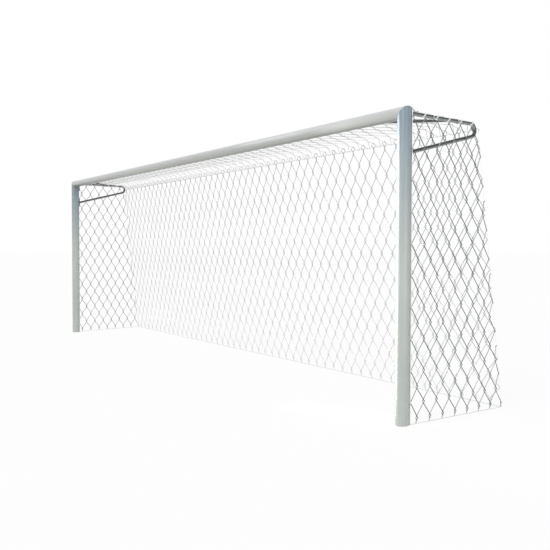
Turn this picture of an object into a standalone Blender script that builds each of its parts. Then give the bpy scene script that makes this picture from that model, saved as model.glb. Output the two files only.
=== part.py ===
"""A full-size soccer goal with a socketed aluminium frame, bent-tube net brackets and a woven wire net.

Metres, +Z up. The origin is the middle of the goal line at ground level, +X runs to the right as seen
from the field, and +Y runs back into the net. Everything below z = 0 is in the ground.
"""

import math

import bmesh
import bpy
from mathutils import Matrix, Vector

# Goal frame
GOAL_WIDTH = 7.32
GOAL_HEIGHT = 2.44
POST_EMBEDMENT = 0.40

# Oval extruded profile of the posts and the crossbar
PROFILE_WIDTH = 0.100
PROFILE_DEPTH = 0.120
PROFILE_SQUARENESS = 2.3
PROFILE_WALL = 0.003
GROOVE_OPENING = 0.015
GROOVE_LIP = 0.003
GROOVE_WIDTH = 0.022
GROOVE_DEPTH = 0.010

# Gaps and fits
SEAT_GAP = 0.0003
INSERT_CLEARANCE = 0.0005
HOLE_CLEARANCE = 0.0004

# Corner connectors inside the profile
CONNECTOR_WALL = 0.006
CONNECTOR_LEG = 0.24
SCREW_RADIUS = 0.004
SCREW_HEAD_RADIUS = 0.0065
SCREW_HEAD_HEIGHT = 0.004
SCREW_PROTRUSION = 0.002
CONNECTOR_SCREW_FIRST = 0.142
CONNECTOR_SCREW_PITCH = 0.062

# Ground sockets and post feet
SOCKET_CLEARANCE = 0.0015
SOCKET_WALL = 0.004
SOCKET_RIM_DROP = 0.004
SOCKET_BASE_THICKNESS = 0.006
SOCKET_BASE_MARGIN = 0.025
FOOT_FLANGE = 0.004
FOOT_SPIGOT = 0.030
DRAIN_RADIUS = 0.010

# Bent-tube net brackets
BRACKET_RADIUS = 0.016
BRACKET_WALL = 0.002
BRACKET_REACH = 0.895
BRACKET_ABOVE_CROSSBAR_AXIS = 0.005
BRACKET_BEND_RADIUS = 0.0555
BRACKET_LOWER_ROOT_DROP = 0.310

# Diagonal braces from the brackets' top arms to the crossbar
BRACE_RADIUS = 0.0125
BRACE_WALL = 0.002
BRACE_SPREAD = 0.50
BRACE_REACH = 0.56

# Mounting plates, slot nuts and bolts on the rear groove
PLATE_WIDTH = 0.046
PLATE_THICKNESS = 0.006
PLATE_CORNER = 0.006
PLATE_END_MARGIN = 0.020
TOP_PLATE_BOLT_DROP = 0.045
TOP_PLATE_BOLT_PITCH = 0.050
LOWER_PLATE_BOLT_PITCH = 0.090
BRACE_PLATE_BOLT_PITCH = 0.094
BOLT_RADIUS = 0.004
BOLT_HEAD_RADIUS = 0.0075
BOLT_HEAD_HEIGHT = 0.0053
BOLT_PROTRUSION = 0.001
SLOT_NUT_THICKNESS = 0.006
SLOT_NUT_CLEARANCE = 0.001
SLOT_NUT_END_MARGIN = 0.014

# Net, its rods and its wires
NET_THICKNESS = 0.005
NET_STRAND = 0.005
NET_DIAMOND_WIDTH = 0.465
NET_DIAMOND_HEIGHT = 0.765
NET_DEPTH_AT_GROUND = 1.18
NET_SPLAY_AT_GROUND = 0.090
NET_ROD_RADIUS = 0.004
NET_ROD_ANGLE = math.radians(45)
REAR_WIRE_RADIUS = 0.003
GROUND_WIRE_RADIUS = 0.0035
GROUND_WIRE_BEND = 0.030
GROUND_GAP = 0.0005

# Faceting of the round shapes
PROFILE_STEPS = 32
HOLLOW_STEPS = 24
TUBE_RESOLUTION = 3
BEND_STEPS = 8
WRAP_STEPS = 3
HOLE_SIDES = 10
HEX_SIDES = 6
CORNER_STEPS = 2

# Places worked out from the sizes above
POST_X = (GOAL_WIDTH + PROFILE_WIDTH) / 2
CROSSBAR_Z = GOAL_HEIGHT + PROFILE_WIDTH / 2
HALF_WIDTH = PROFILE_WIDTH / 2
HALF_DEPTH = PROFILE_DEPTH / 2
GROOVE_CEILING = HALF_DEPTH - GROOVE_LIP
GROOVE_FLOOR = GROOVE_CEILING - GROOVE_DEPTH
PLATE_FRONT = HALF_DEPTH + SEAT_GAP
PLATE_REAR = PLATE_FRONT + PLATE_THICKNESS
TUBE_ROOT = PLATE_REAR + SEAT_GAP
BRACKET_Z = CROSSBAR_Z + BRACKET_ABOVE_CROSSBAR_AXIS
BEND_Y = BRACKET_REACH - BRACKET_RADIUS - BRACKET_BEND_RADIUS
BEND_Z = BRACKET_Z - BRACKET_BEND_RADIUS
LOWER_ROOT_Z = BRACKET_Z - BRACKET_LOWER_ROOT_DROP

SIDES = ((-1, "left"), (1, "right"))


def remove_everything():
    """Empties the scene that the script starts in."""
    for scene_object in list(bpy.data.objects):
        bpy.data.objects.remove(scene_object, do_unlink=True)


def new_collection(name):
    collection = bpy.data.collections.new(name)
    bpy.context.scene.collection.children.link(collection)
    return collection


def new_material(name, color, metallic, roughness):
    material = bpy.data.materials.new(name)
    material.use_nodes = True
    shader = material.node_tree.nodes["Principled BSDF"]
    shader.inputs["Base Color"].default_value = (*color, 1.0)
    shader.inputs["Metallic"].default_value = metallic
    shader.inputs["Roughness"].default_value = roughness
    material.diffuse_color = (*color, 1.0)
    return material


def add_node(name, data, material, parent, location=(0, 0, 0), rotation=(0, 0, 0)):
    """One piece of the goal: an object of its own, under the empty of the body that it moves with."""
    piece = bpy.data.objects.new(name, data)
    piece.location = location
    piece.rotation_euler = rotation
    piece.parent = parent
    data.materials.clear()
    data.materials.append(material)
    GOAL.objects.link(piece)
    return piece


def finish_mesh(bm, name):
    """A mesh with its faces facing out, shaded smooth except at its real edges."""
    bmesh.ops.recalc_face_normals(bm, faces=bm.faces)
    mesh = bpy.data.meshes.new(name)
    bm.to_mesh(mesh)
    bm.free()
    mesh.shade_smooth()
    mesh.set_sharp_from_angle(angle=math.radians(30))
    return mesh


def baked_mesh(source, name):
    """The evaluated mesh of an object, which is then removed."""
    depsgraph = bpy.context.evaluated_depsgraph_get()
    mesh = bpy.data.meshes.new_from_object(source.evaluated_get(depsgraph))
    mesh.name = name
    bpy.data.objects.remove(source, do_unlink=True)
    return mesh


def add_spline(curve, points, cyclic=True):
    spline = curve.splines.new("POLY")
    spline.points.add(len(points) - 1)
    spline.use_cyclic_u = cyclic
    for target, point in zip(spline.points, points):
        target.co = (*point, 1.0)


def outline_curve(name, outlines, thickness=0.0):
    """A flat outline, with holes where an outline lies inside another."""
    curve = bpy.data.curves.new(name, "CURVE")
    curve.dimensions = "2D"
    curve.fill_mode = "BOTH" if thickness else "FRONT"
    curve.extrude = thickness / 2
    for outline in outlines:
        add_spline(curve, [(x, y, 0.0) for x, y in outline])
    return curve


def sweep(name, outlines, stations):
    """Extrudes a flat outline through stations, each of which places an outline point in space."""
    flat = bpy.data.objects.new(name, outline_curve(name, outlines))
    GUIDES.objects.link(flat)
    bm = bmesh.new()
    bm.from_mesh(baked_mesh(flat, name))
    bmesh.ops.remove_doubles(bm, verts=bm.verts, dist=0.00001)
    outline_point = bm.verts.layers.float_vector.new("outline_point")
    for vert in bm.verts:
        vert[outline_point] = vert.co
    for vert in bm.verts:
        vert.co = stations[0](vert[outline_point].x, vert[outline_point].y)
    region = list(bm.faces)
    for index, station in enumerate(stations[1:]):
        grown = bmesh.ops.extrude_face_region(bm, geom=region)["geom"]
        if index > 0:
            bmesh.ops.delete(bm, geom=region, context="FACES_ONLY")
        for item in grown:
            if isinstance(item, bmesh.types.BMVert):
                item.co = station(item[outline_point].x, item[outline_point].y)
        region = [item for item in grown if isinstance(item, bmesh.types.BMFace)]
    return finish_mesh(bm, name)


def level(z):
    """A station that lays the outline flat at a height."""
    return lambda u, v: (u, v, z)


def cylinder(name, radius, start, end, sides):
    """A closed straight bar from one point to another."""
    start = Vector(start)
    end = Vector(end)
    axis = end - start
    turn = axis.to_track_quat("Z", "Y").to_matrix().to_4x4()
    bm = bmesh.new()
    bmesh.ops.create_cone(
        bm,
        cap_ends=True,
        segments=sides,
        radius1=radius,
        radius2=radius,
        depth=axis.length,
        matrix=Matrix.Translation((start + end) / 2) @ turn,
    )
    return finish_mesh(bm, name)


def box(name, low, high):
    low = Vector(low)
    high = Vector(high)
    bm = bmesh.new()
    place = Matrix.Translation((low + high) / 2) @ Matrix.Diagonal((*(high - low), 1.0))
    bmesh.ops.create_cube(bm, size=1.0, matrix=place)
    return finish_mesh(bm, name)


def add_cutter(name, mesh):
    cutter = bpy.data.objects.new(name, mesh)
    cutter.hide_render = True
    cutter.display_type = "WIRE"
    GUIDES.objects.link(cutter)
    return cutter


def add_boolean(piece, other, operation):
    boolean = piece.modifiers.new(other.name, "BOOLEAN")
    boolean.operation = operation
    boolean.object = other


def joined_mesh(name, first, second):
    """Two overlapping meshes as one closed body."""
    base = add_cutter(name, first)
    other = add_cutter(name + "_other", second)
    add_boolean(base, other, "UNION")
    mesh = baked_mesh(base, name)
    bpy.data.objects.remove(other, do_unlink=True)
    return mesh


def drill(piece, name, start, end, radius):
    """A round hole through a piece, between two points in the world."""
    cutter = add_cutter(name, cylinder(name, radius, start, end, HOLE_SIDES))
    add_boolean(piece, cutter, "DIFFERENCE")


def circle(radius, sides, centre=(0.0, 0.0)):
    points = []
    for index in range(sides):
        turn = 2 * math.pi * index / sides
        points.append((centre[0] + radius * math.cos(turn), centre[1] + radius * math.sin(turn)))
    return points


def rounded_rectangle(width, height, corner):
    points = []
    for quarter, (along, up) in enumerate(((1, 1), (-1, 1), (-1, -1), (1, -1))):
        centre = (along * (width / 2 - corner), up * (height / 2 - corner))
        for step in range(CORNER_STEPS + 1):
            turn = math.pi / 2 * (quarter + step / CORNER_STEPS)
            points.append((centre[0] + corner * math.cos(turn), centre[1] + corner * math.sin(turn)))
    return points


def oval_point(half_u, half_v, turn):
    """A point on the squared-off oval of the extruded profile."""
    power = 2 / PROFILE_SQUARENESS
    u = math.copysign(abs(math.cos(turn)) ** power, math.cos(turn)) * half_u
    v = math.copysign(abs(math.sin(turn)) ** power, math.sin(turn)) * half_v
    return u, v


def oval_arc(half_u, half_v, first, steps):
    """The oval from an angle beside the rear point, round the front, to the same angle mirrored."""
    last = -math.pi - first
    turns = [first + (last - first) * step / steps for step in range(steps + 1)]
    return [oval_point(half_u, half_v, turn) for turn in turns]


def oval(grow, steps=PROFILE_STEPS):
    """The closed oval of the profile, grown all round."""
    turns = [2 * math.pi * step / steps for step in range(steps)]
    return [oval_point(HALF_WIDTH + grow, HALF_DEPTH + grow, turn) for turn in turns]


def grooved_outline():
    """The outer outline of the profile, with the undercut groove along its rear."""
    first = math.acos((GROOVE_OPENING / 2 / HALF_WIDTH) ** (PROFILE_SQUARENESS / 2))
    arc = oval_arc(HALF_WIDTH, HALF_DEPTH, first, PROFILE_STEPS)
    half_opening = GROOVE_OPENING / 2
    half_groove = GROOVE_WIDTH / 2
    groove = [
        (-half_opening, GROOVE_CEILING),
        (-half_groove, GROOVE_CEILING),
        (-half_groove, GROOVE_FLOOR),
        (half_groove, GROOVE_FLOOR),
        (half_groove, GROOVE_CEILING),
        (half_opening, GROOVE_CEILING),
    ]
    return arc + groove


def hollow_outline(inset):
    """The profile's hollow, or what fits in it: inset from the outer oval, flat in front of the groove."""
    half_v = HALF_DEPTH - inset
    flat = GROOVE_FLOOR - inset
    first = math.asin((flat / half_v) ** (PROFILE_SQUARENESS / 2))
    return oval_arc(HALF_WIDTH - inset, half_v, first, HOLLOW_STEPS)


def make_posts(material):
    outlines = [grooved_outline(), hollow_outline(PROFILE_WALL)]
    for side, label in SIDES:
        stations = [
            lambda u, v, side=side: (side * u, v, -POST_EMBEDMENT),
            lambda u, v, side=side: (side * u, v, CROSSBAR_Z + u),
        ]
        mesh = sweep(label + "_post", outlines, stations)
        post = add_node(label + "_post", mesh, material, FRAME, (side * POST_X, 0, 0))
        for index, distance in enumerate(connector_screw_distances(), 1):
            place = (side * POST_X, 0, CROSSBAR_Z - distance)
            drill_groove_floor(post, f"{label}_post_screw_hole_{index}", place)


def make_crossbar(material):
    mitre_gap = SEAT_GAP * math.sqrt(2)
    stations = [
        lambda u, v: (mitre_gap - POST_X - u, v, u),
        lambda u, v: (POST_X + u - mitre_gap, v, u),
    ]
    mesh = sweep("crossbar", [grooved_outline(), hollow_outline(PROFILE_WALL)], stations)
    crossbar = add_node("crossbar", mesh, material, FRAME, (0, 0, CROSSBAR_Z))
    for side, label in SIDES:
        for index, distance in enumerate(connector_screw_distances(), 1):
            place = (side * (POST_X - distance), 0, CROSSBAR_Z)
            drill_groove_floor(crossbar, f"{label}_crossbar_screw_hole_{index}", place)


def connector_screw_distances():
    """How far the two screws of each connector leg are from the corner."""
    return [CONNECTOR_SCREW_FIRST + index * CONNECTOR_SCREW_PITCH for index in range(2)]


def drill_groove_floor(piece, name, place):
    """A screw hole through the floor of the rear groove and what lies in front of it, as deep as a screw."""
    start = (place[0], GROOVE_CEILING, place[2])
    end = (place[0], screw_tip() - SCREW_PROTRUSION, place[2])
    drill(piece, name, start, end, SCREW_RADIUS + HOLE_CLEARANCE)


def screw_tip():
    """Where a connector screw ends: just inside the connector's wall."""
    return GROOVE_FLOOR - PROFILE_WALL - INSERT_CLEARANCE - CONNECTOR_WALL - SCREW_PROTRUSION


def make_corner_connectors(material, screw_material):
    """The elbow inside each mitred corner, screwed to the post and the crossbar from the rear groove."""
    outer_inset = PROFILE_WALL + INSERT_CLEARANCE
    outlines = [hollow_outline(outer_inset), hollow_outline(outer_inset + CONNECTOR_WALL)]
    shank = GROOVE_FLOOR + SEAT_GAP - screw_tip()
    screw_sizes = (SCREW_HEAD_RADIUS, SCREW_HEAD_HEIGHT, SCREW_RADIUS, shank)
    screw_mesh = fastener_mesh("connector_screw", *screw_sizes, HOLE_SIDES)
    for side, label in SIDES:
        corner = (side * POST_X, 0, CROSSBAR_Z)
        stations = [
            lambda u, v, side=side: (side * u, v, -CONNECTOR_LEG),
            lambda u, v, side=side: (side * u, v, u),
            lambda u, v, side=side: (-side * CONNECTOR_LEG, v, u),
        ]
        name = label + "_corner_connector"
        connector = add_node(name, sweep(name, outlines, stations), material, FRAME, corner)
        places = [(side * POST_X, 0, CROSSBAR_Z - distance) for distance in connector_screw_distances()]
        places += [(side * (POST_X - distance), 0, CROSSBAR_Z) for distance in connector_screw_distances()]
        for index, place in enumerate(places, 1):
            drill_groove_floor(connector, f"{name}_hole_{index}", place)
            seat = (place[0], GROOVE_FLOOR + SEAT_GAP, place[2])
            add_node(f"{label}_connector_screw_{index}", screw_mesh, screw_material, FRAME, seat)


def fastener_mesh(name, head_radius, head_height, shank_radius, shank_length, head_sides):
    """A headed screw along Y: the underside of its head is at y = 0 and its shank points to the front."""
    head = cylinder(name, head_radius, (0, 0, 0), (0, head_height, 0), head_sides)
    shank = cylinder(name, shank_radius, (0, -shank_length, 0), (0, head_height / 2, 0), HOLE_SIDES)
    return joined_mesh(name, head, shank)


def make_feet(foot_material, socket_material):
    """The plug in each post's foot and the sleeve in the ground that the post stands in."""
    sleeve_inner = oval(SOCKET_CLEARANCE)
    sleeve_outer = oval(SOCKET_CLEARANCE + SOCKET_WALL)
    foot_top = -POST_EMBEDMENT - SEAT_GAP
    foot_bottom = foot_top - FOOT_FLANGE
    base_top = foot_bottom - SEAT_GAP
    base_bottom = base_top - SOCKET_BASE_THICKNESS
    base_half_x = HALF_WIDTH + SOCKET_CLEARANCE + SOCKET_WALL + SOCKET_BASE_MARGIN
    base_half_y = HALF_DEPTH + SOCKET_CLEARANCE + SOCKET_WALL + SOCKET_BASE_MARGIN
    weld_depth = SOCKET_BASE_THICKNESS / 2
    spigot_outline = hollow_outline(PROFILE_WALL + INSERT_CLEARANCE)
    for side, label in SIDES:
        place = (side * POST_X, 0, 0)
        flange = sweep(label + "_flange", [oval(0)], [level(foot_bottom), level(foot_top)])
        spigot_levels = [level(foot_top - FOOT_FLANGE / 2), level(foot_top + FOOT_SPIGOT)]
        spigot = sweep(label + "_spigot", [spigot_outline], spigot_levels)
        plug = joined_mesh(label + "_foot_plug", flange, spigot)
        foot_plug = add_node(label + "_foot_plug", plug, foot_material, FRAME, place)
        sleeve_levels = [level(base_top - weld_depth), level(-SOCKET_RIM_DROP)]
        sleeve = sweep(label + "_sleeve", [sleeve_outer, sleeve_inner], sleeve_levels)
        low = (-base_half_x, -base_half_y, base_bottom)
        high = (base_half_x, base_half_y, base_top)
        base = box(label + "_base", low, high)
        socket_mesh = joined_mesh(label + "_ground_socket", base, sleeve)
        socket = add_node(label + "_ground_socket", socket_mesh, socket_material, GROUND, place)
        below = (place[0], 0, base_bottom - FOOT_FLANGE)
        above = (place[0], 0, foot_top + FOOT_SPIGOT + FOOT_FLANGE)
        drill(foot_plug, label + "_foot_drain", below, above, DRAIN_RADIUS)
        drill(socket, label + "_socket_drain", below, above, DRAIN_RADIUS)


def lower_arm_slope():
    """The angle at which a bracket's lower arm climbs from its root on the post to touch the bend."""
    back = BEND_Y - TUBE_ROOT
    up = BEND_Z - LOWER_ROOT_Z
    return math.atan2(up, back) - math.asin(BRACKET_BEND_RADIUS / math.hypot(back, up))


def bracket_path():
    """The bracket's centre line in the post's plane, run past its lower root so it can be cut there."""
    slope = lower_arm_slope()
    overrun = BRACKET_RADIUS * math.tan(slope) + PLATE_THICKNESS
    last_turn = slope - math.pi / 2
    turns = [math.pi / 2 + (last_turn - math.pi / 2) * step / BEND_STEPS for step in range(BEND_STEPS + 1)]
    bend = [
        (0.0, BEND_Y + BRACKET_BEND_RADIUS * math.cos(turn), BEND_Z + BRACKET_BEND_RADIUS * math.sin(turn))
        for turn in turns
    ]
    end = (0.0, TUBE_ROOT - overrun, LOWER_ROOT_Z - overrun * math.tan(slope))
    return [(0.0, TUBE_ROOT - overrun, BRACKET_Z), *bend, end]


def tube_mesh(name, path, radius):
    """The open skin of a round tube along a path."""
    curve = bpy.data.curves.new(name, "CURVE")
    curve.dimensions = "3D"
    curve.bevel_depth = radius
    curve.bevel_resolution = TUBE_RESOLUTION
    curve.use_fill_caps = False
    add_spline(curve, path, cyclic=False)
    guide = bpy.data.objects.new(name, curve)
    GUIDES.objects.link(guide)
    bm = bmesh.new()
    bm.from_mesh(baked_mesh(guide, name))
    return finish_mesh(bm, name)


def add_wall(piece, thickness):
    """Gives an open skin its wall, inwards."""
    solidify = piece.modifiers.new("wall", "SOLIDIFY")
    solidify.thickness = thickness
    solidify.offset = -1
    solidify.use_even_offset = True


def add_root_cut(piece, name, x):
    """Cuts a tube off flush with the rear of the plates that it is welded to."""
    low = (x - POST_X, 0, 0)
    high = (x + POST_X, TUBE_ROOT, CROSSBAR_Z + POST_X)
    add_boolean(piece, add_cutter(name, box(name, low, high)), "DIFFERENCE")


def make_brackets(material):
    for side, label in SIDES:
        post_x = side * POST_X
        name = label + "_net_bracket"
        skin = tube_mesh(name, bracket_path(), BRACKET_RADIUS)
        bracket = add_node(name, skin, material, FRAME, (post_x, 0, 0))
        add_wall(bracket, BRACKET_WALL)
        add_root_cut(bracket, name + "_root_cut", post_x)

        name = label + "_brace"
        along = Vector((-side * BRACE_SPREAD, TUBE_ROOT - BRACE_REACH, 0))
        overrun = along.normalized() * (BRACE_RADIUS * 2)
        path = [(0, 0, 0), tuple(along + overrun)]
        start = (post_x, BRACE_REACH, BRACKET_Z)
        brace = add_node(name, tube_mesh(name, path, BRACE_RADIUS), material, FRAME, start)
        add_wall(brace, BRACE_WALL)
        add_root_cut(brace, name + "_root_cut", post_x)
        cope_start = (post_x, BRACE_REACH - BRACKET_RADIUS * 4, BRACKET_Z)
        cope_end = (post_x, BRACE_REACH + BRACKET_RADIUS * 4, BRACKET_Z)
        cope_radius = BRACKET_RADIUS + SEAT_GAP
        cope = cylinder(name + "_cope", cope_radius, cope_start, cope_end, 4 * HOLE_SIDES)
        add_boolean(brace, add_cutter(name + "_cope", cope), "DIFFERENCE")


def plate_places():
    """Each plate: its name, the line of its bolts, its length's two ends and whether it lies along X."""
    top_first = BRACKET_Z - TOP_PLATE_BOLT_DROP
    top_last = top_first - TOP_PLATE_BOLT_PITCH
    top_ends = (BRACKET_Z + PLATE_END_MARGIN, top_last - PLATE_END_MARGIN)
    places = []
    for side, label in SIDES:
        post_x = side * POST_X
        brace_x = side * (POST_X - BRACE_SPREAD)
        places.append((label + "_top", post_x, (top_first, top_last), top_ends, False))
        lower_bolts, lower_ends = bolts_and_ends(LOWER_ROOT_Z, LOWER_PLATE_BOLT_PITCH)
        places.append((label + "_lower", post_x, lower_bolts, lower_ends, False))
        brace_bolts, brace_ends = bolts_and_ends(brace_x, BRACE_PLATE_BOLT_PITCH)
        places.append((label + "_brace", CROSSBAR_Z, brace_bolts, brace_ends, True))
    return places


def bolts_and_ends(middle, pitch):
    """Two bolts about the middle of a plate, and the plate's ends past them."""
    half = pitch / 2
    reach = half + PLATE_END_MARGIN
    return (middle + half, middle - half), (middle + reach, middle - reach)


def strip(name, width, ends, across, bolts, along_x, corner, thickness):
    """A flat strip with two bolt holes, and its middle as (x, z)."""
    middle = sum(ends) / 2
    length = abs(ends[0] - ends[1])
    hole_radius = BOLT_RADIUS + HOLE_CLEARANCE
    size = (length, width) if along_x else (width, length)
    outlines = [rounded_rectangle(*size, corner)]
    for bolt in bolts:
        offset = bolt - middle
        hole_centre = (offset, 0) if along_x else (0, offset)
        outlines.append(circle(hole_radius, HOLE_SIDES, hole_centre))
    place = (middle, across) if along_x else (across, middle)
    return outline_curve(name, outlines, thickness), place


def make_plates(plate_material, nut_material, bolt_material):
    """The plates behind the frame, the nuts in its groove and the bolts between them."""
    upright = (math.pi / 2, 0, 0)
    nut_front = GROOVE_CEILING - SEAT_GAP - SLOT_NUT_THICKNESS
    bolt_seat = PLATE_REAR + SEAT_GAP
    shank = bolt_seat - nut_front + BOLT_PROTRUSION
    bolt_sizes = (BOLT_HEAD_RADIUS, BOLT_HEAD_HEIGHT, BOLT_RADIUS, shank)
    bolt_mesh = fastener_mesh("bolt", *bolt_sizes, HEX_SIDES)
    nut_width = GROOVE_WIDTH - 2 * SLOT_NUT_CLEARANCE
    for name, across, bolts, ends, along_x in plate_places():
        plate_shape = (PLATE_WIDTH, ends, across, bolts, along_x, PLATE_CORNER, PLATE_THICKNESS)
        plate, (x, z) = strip(name + "_plate", *plate_shape)
        place = (x, (PLATE_FRONT + PLATE_REAR) / 2, z)
        add_node(name + "_plate", plate, plate_material, FRAME, place, upright)

        nut_ends = (bolts[0] + SLOT_NUT_END_MARGIN, bolts[1] - SLOT_NUT_END_MARGIN)
        nut_shape = (nut_width, nut_ends, across, bolts, along_x, SLOT_NUT_CLEARANCE, SLOT_NUT_THICKNESS)
        nut, (x, z) = strip(name + "_slot_nut", *nut_shape)
        place = (x, nut_front + SLOT_NUT_THICKNESS / 2, z)
        add_node(name + "_slot_nut", nut, nut_material, FRAME, place, upright)
        for index, bolt in enumerate(bolts, 1):
            seat = (bolt, bolt_seat, across) if along_x else (across, bolt_seat, bolt)
            add_node(f"{name}_bolt_{index}", bolt_mesh, bolt_material, FRAME, seat)


def net_rod_offset():
    """Where a net rod lies against the profile's rear flank, from the profile's axis."""
    u, v = oval_point(HALF_WIDTH, HALF_DEPTH, NET_ROD_ANGLE)
    power = PROFILE_SQUARENESS - 1
    normal = Vector(((u / HALF_WIDTH) ** power / HALF_WIDTH, (v / HALF_DEPTH) ** power / HALF_DEPTH))
    place = Vector((u, v)) + normal.normalized() * (NET_ROD_RADIUS + SEAT_GAP)
    return place.x, place.y


def net_front():
    """The y at which the net begins, just behind the rods that hold its front edges."""
    return net_rod_offset()[1] + NET_ROD_RADIUS + SEAT_GAP


def rear_wire_orbit():
    """The distance from the brackets' bend centres to the rear top wire, which lies on the bends."""
    return BRACKET_BEND_RADIUS + BRACKET_RADIUS + SEAT_GAP + REAR_WIRE_RADIUS


def rear_seam():
    """The rear top wire's centre, where the straight line up from the ground wire meets the bends."""
    back = NET_DEPTH_AT_GROUND - BEND_Y
    down = BEND_Z - net_bottom()
    turn = math.atan2(back, down) - math.asin(rear_wire_orbit() / math.hypot(back, down))
    return BEND_Y + rear_wire_orbit() * math.cos(turn), BEND_Z + rear_wire_orbit() * math.sin(turn)


def net_bottom():
    """The height at which the net ends, just over the ground wire."""
    return GROUND_GAP + 2 * GROUND_WIRE_RADIUS + SEAT_GAP


def make_net_rods_and_wires(material):
    rod_out, rod_back = net_rod_offset()
    crossbar_rod_z = CROSSBAR_Z + rod_out
    rod_top = crossbar_rod_z - NET_ROD_RADIUS - SEAT_GAP
    rod_x = POST_X + rod_out
    for side, label in SIDES:
        name = label + "_net_rod"
        rod = cylinder(name, NET_ROD_RADIUS, (0, 0, GROUND_GAP), (0, 0, rod_top), HOLE_SIDES)
        add_node(name, rod, material, FRAME, (side * rod_x, rod_back, 0))
    reach = rod_x + NET_ROD_RADIUS
    rod = cylinder("crossbar_net_rod", NET_ROD_RADIUS, (-reach, 0, 0), (reach, 0, 0), HOLE_SIDES)
    add_node("crossbar_net_rod", rod, material, FRAME, (0, rod_back, crossbar_rod_z))

    seam_y, seam_z = rear_seam()
    wire = cylinder("rear_top_wire", REAR_WIRE_RADIUS, (-POST_X, 0, 0), (POST_X, 0, 0), HOLE_SIDES)
    add_node("rear_top_wire", wire, material, FRAME, (0, seam_y, seam_z))
    make_ground_wire(material, rod_x)


def make_ground_wire(material, rod_x):
    """The wire that holds the net's foot, round the back from one post's net rod to the other's."""
    corner_x = POST_X + NET_SPLAY_AT_GROUND
    z = GROUND_GAP + GROUND_WIRE_RADIUS
    front = Vector((rod_x, net_front(), z))
    corner = Vector((corner_x, NET_DEPTH_AT_GROUND, z))
    before = corner + (front - corner).normalized() * GROUND_WIRE_BEND
    after = corner - Vector((GROUND_WIRE_BEND, 0, 0))
    bend = []
    for step in range(CORNER_STEPS + 1):
        share = step / CORNER_STEPS
        bend.append(before.lerp(corner, share).lerp(corner.lerp(after, share), share))
    right = [tuple(front), *(tuple(point) for point in bend)]
    left = [(-x, y, z) for x, y, z in reversed(right)]
    curve = bpy.data.curves.new("ground_wire", "CURVE")
    curve.dimensions = "3D"
    curve.bevel_depth = GROUND_WIRE_RADIUS
    curve.bevel_resolution = 2
    curve.use_fill_caps = True
    add_spline(curve, right + left, cyclic=False)
    add_node("ground_wire", curve, material, FRAME)


def face_width(face):
    """Twice a face's area over its outline's length: about as wide as the circle that fits in it."""
    return 2 * face.calc_area() / face.calc_perimeter()


def net_sheet(name, outline, place, material, folds=()):
    """A flat diamond net inside a convex outline, then laid in space by a function and given its thickness."""
    xs = [point[0] for point in outline]
    ys = [point[1] for point in outline]
    middle = ((min(xs) + max(xs)) / 2, (min(ys) + max(ys)) / 2)
    span = (max(xs) - min(xs)) / NET_DIAMOND_WIDTH + (max(ys) - min(ys)) / NET_DIAMOND_HEIGHT
    cells = math.ceil(span / 2) * 2 + 2
    bm = bmesh.new()
    bmesh.ops.create_grid(bm, x_segments=cells, y_segments=cells, size=cells / 2)
    root_half = math.sqrt(0.5)
    stretch = Matrix.Diagonal((NET_DIAMOND_WIDTH * root_half, NET_DIAMOND_HEIGHT * root_half, 1, 1))
    turn = Matrix.Rotation(math.pi / 4, 4, "Z")
    bmesh.ops.transform(bm, matrix=Matrix.Translation((*middle, 0)) @ stretch @ turn, verts=bm.verts)
    for index, point in enumerate(outline):
        following = outline[(index + 1) % len(outline)]
        outward = (following[1] - point[1], point[0] - following[0], 0)
        geometry = bm.verts[:] + bm.edges[:] + bm.faces[:]
        bmesh.ops.bisect_plane(bm, geom=geometry, plane_co=(*point, 0), plane_no=outward, clear_outer=True)
    open_cells = [face for face in bm.faces if face_width(face) > NET_STRAND]
    bmesh.ops.inset_individual(bm, faces=open_cells, thickness=NET_STRAND / 2, use_even_offset=True)
    bmesh.ops.delete(bm, geom=open_cells, context="FACES")
    for fold in folds:
        geometry = bm.verts[:] + bm.edges[:] + bm.faces[:]
        bmesh.ops.bisect_plane(bm, geom=geometry, plane_co=(0, fold, 0), plane_no=(0, 1, 0))
    for vert in bm.verts:
        vert.co = place(vert.co.x, vert.co.y)
    sheet = add_node(name, finish_mesh(bm, name), material, FRAME)
    solidify = sheet.modifiers.new("thickness", "SOLIDIFY")
    solidify.thickness = NET_THICKNESS
    solidify.offset = 0
    solidify.use_even_offset = True


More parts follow.
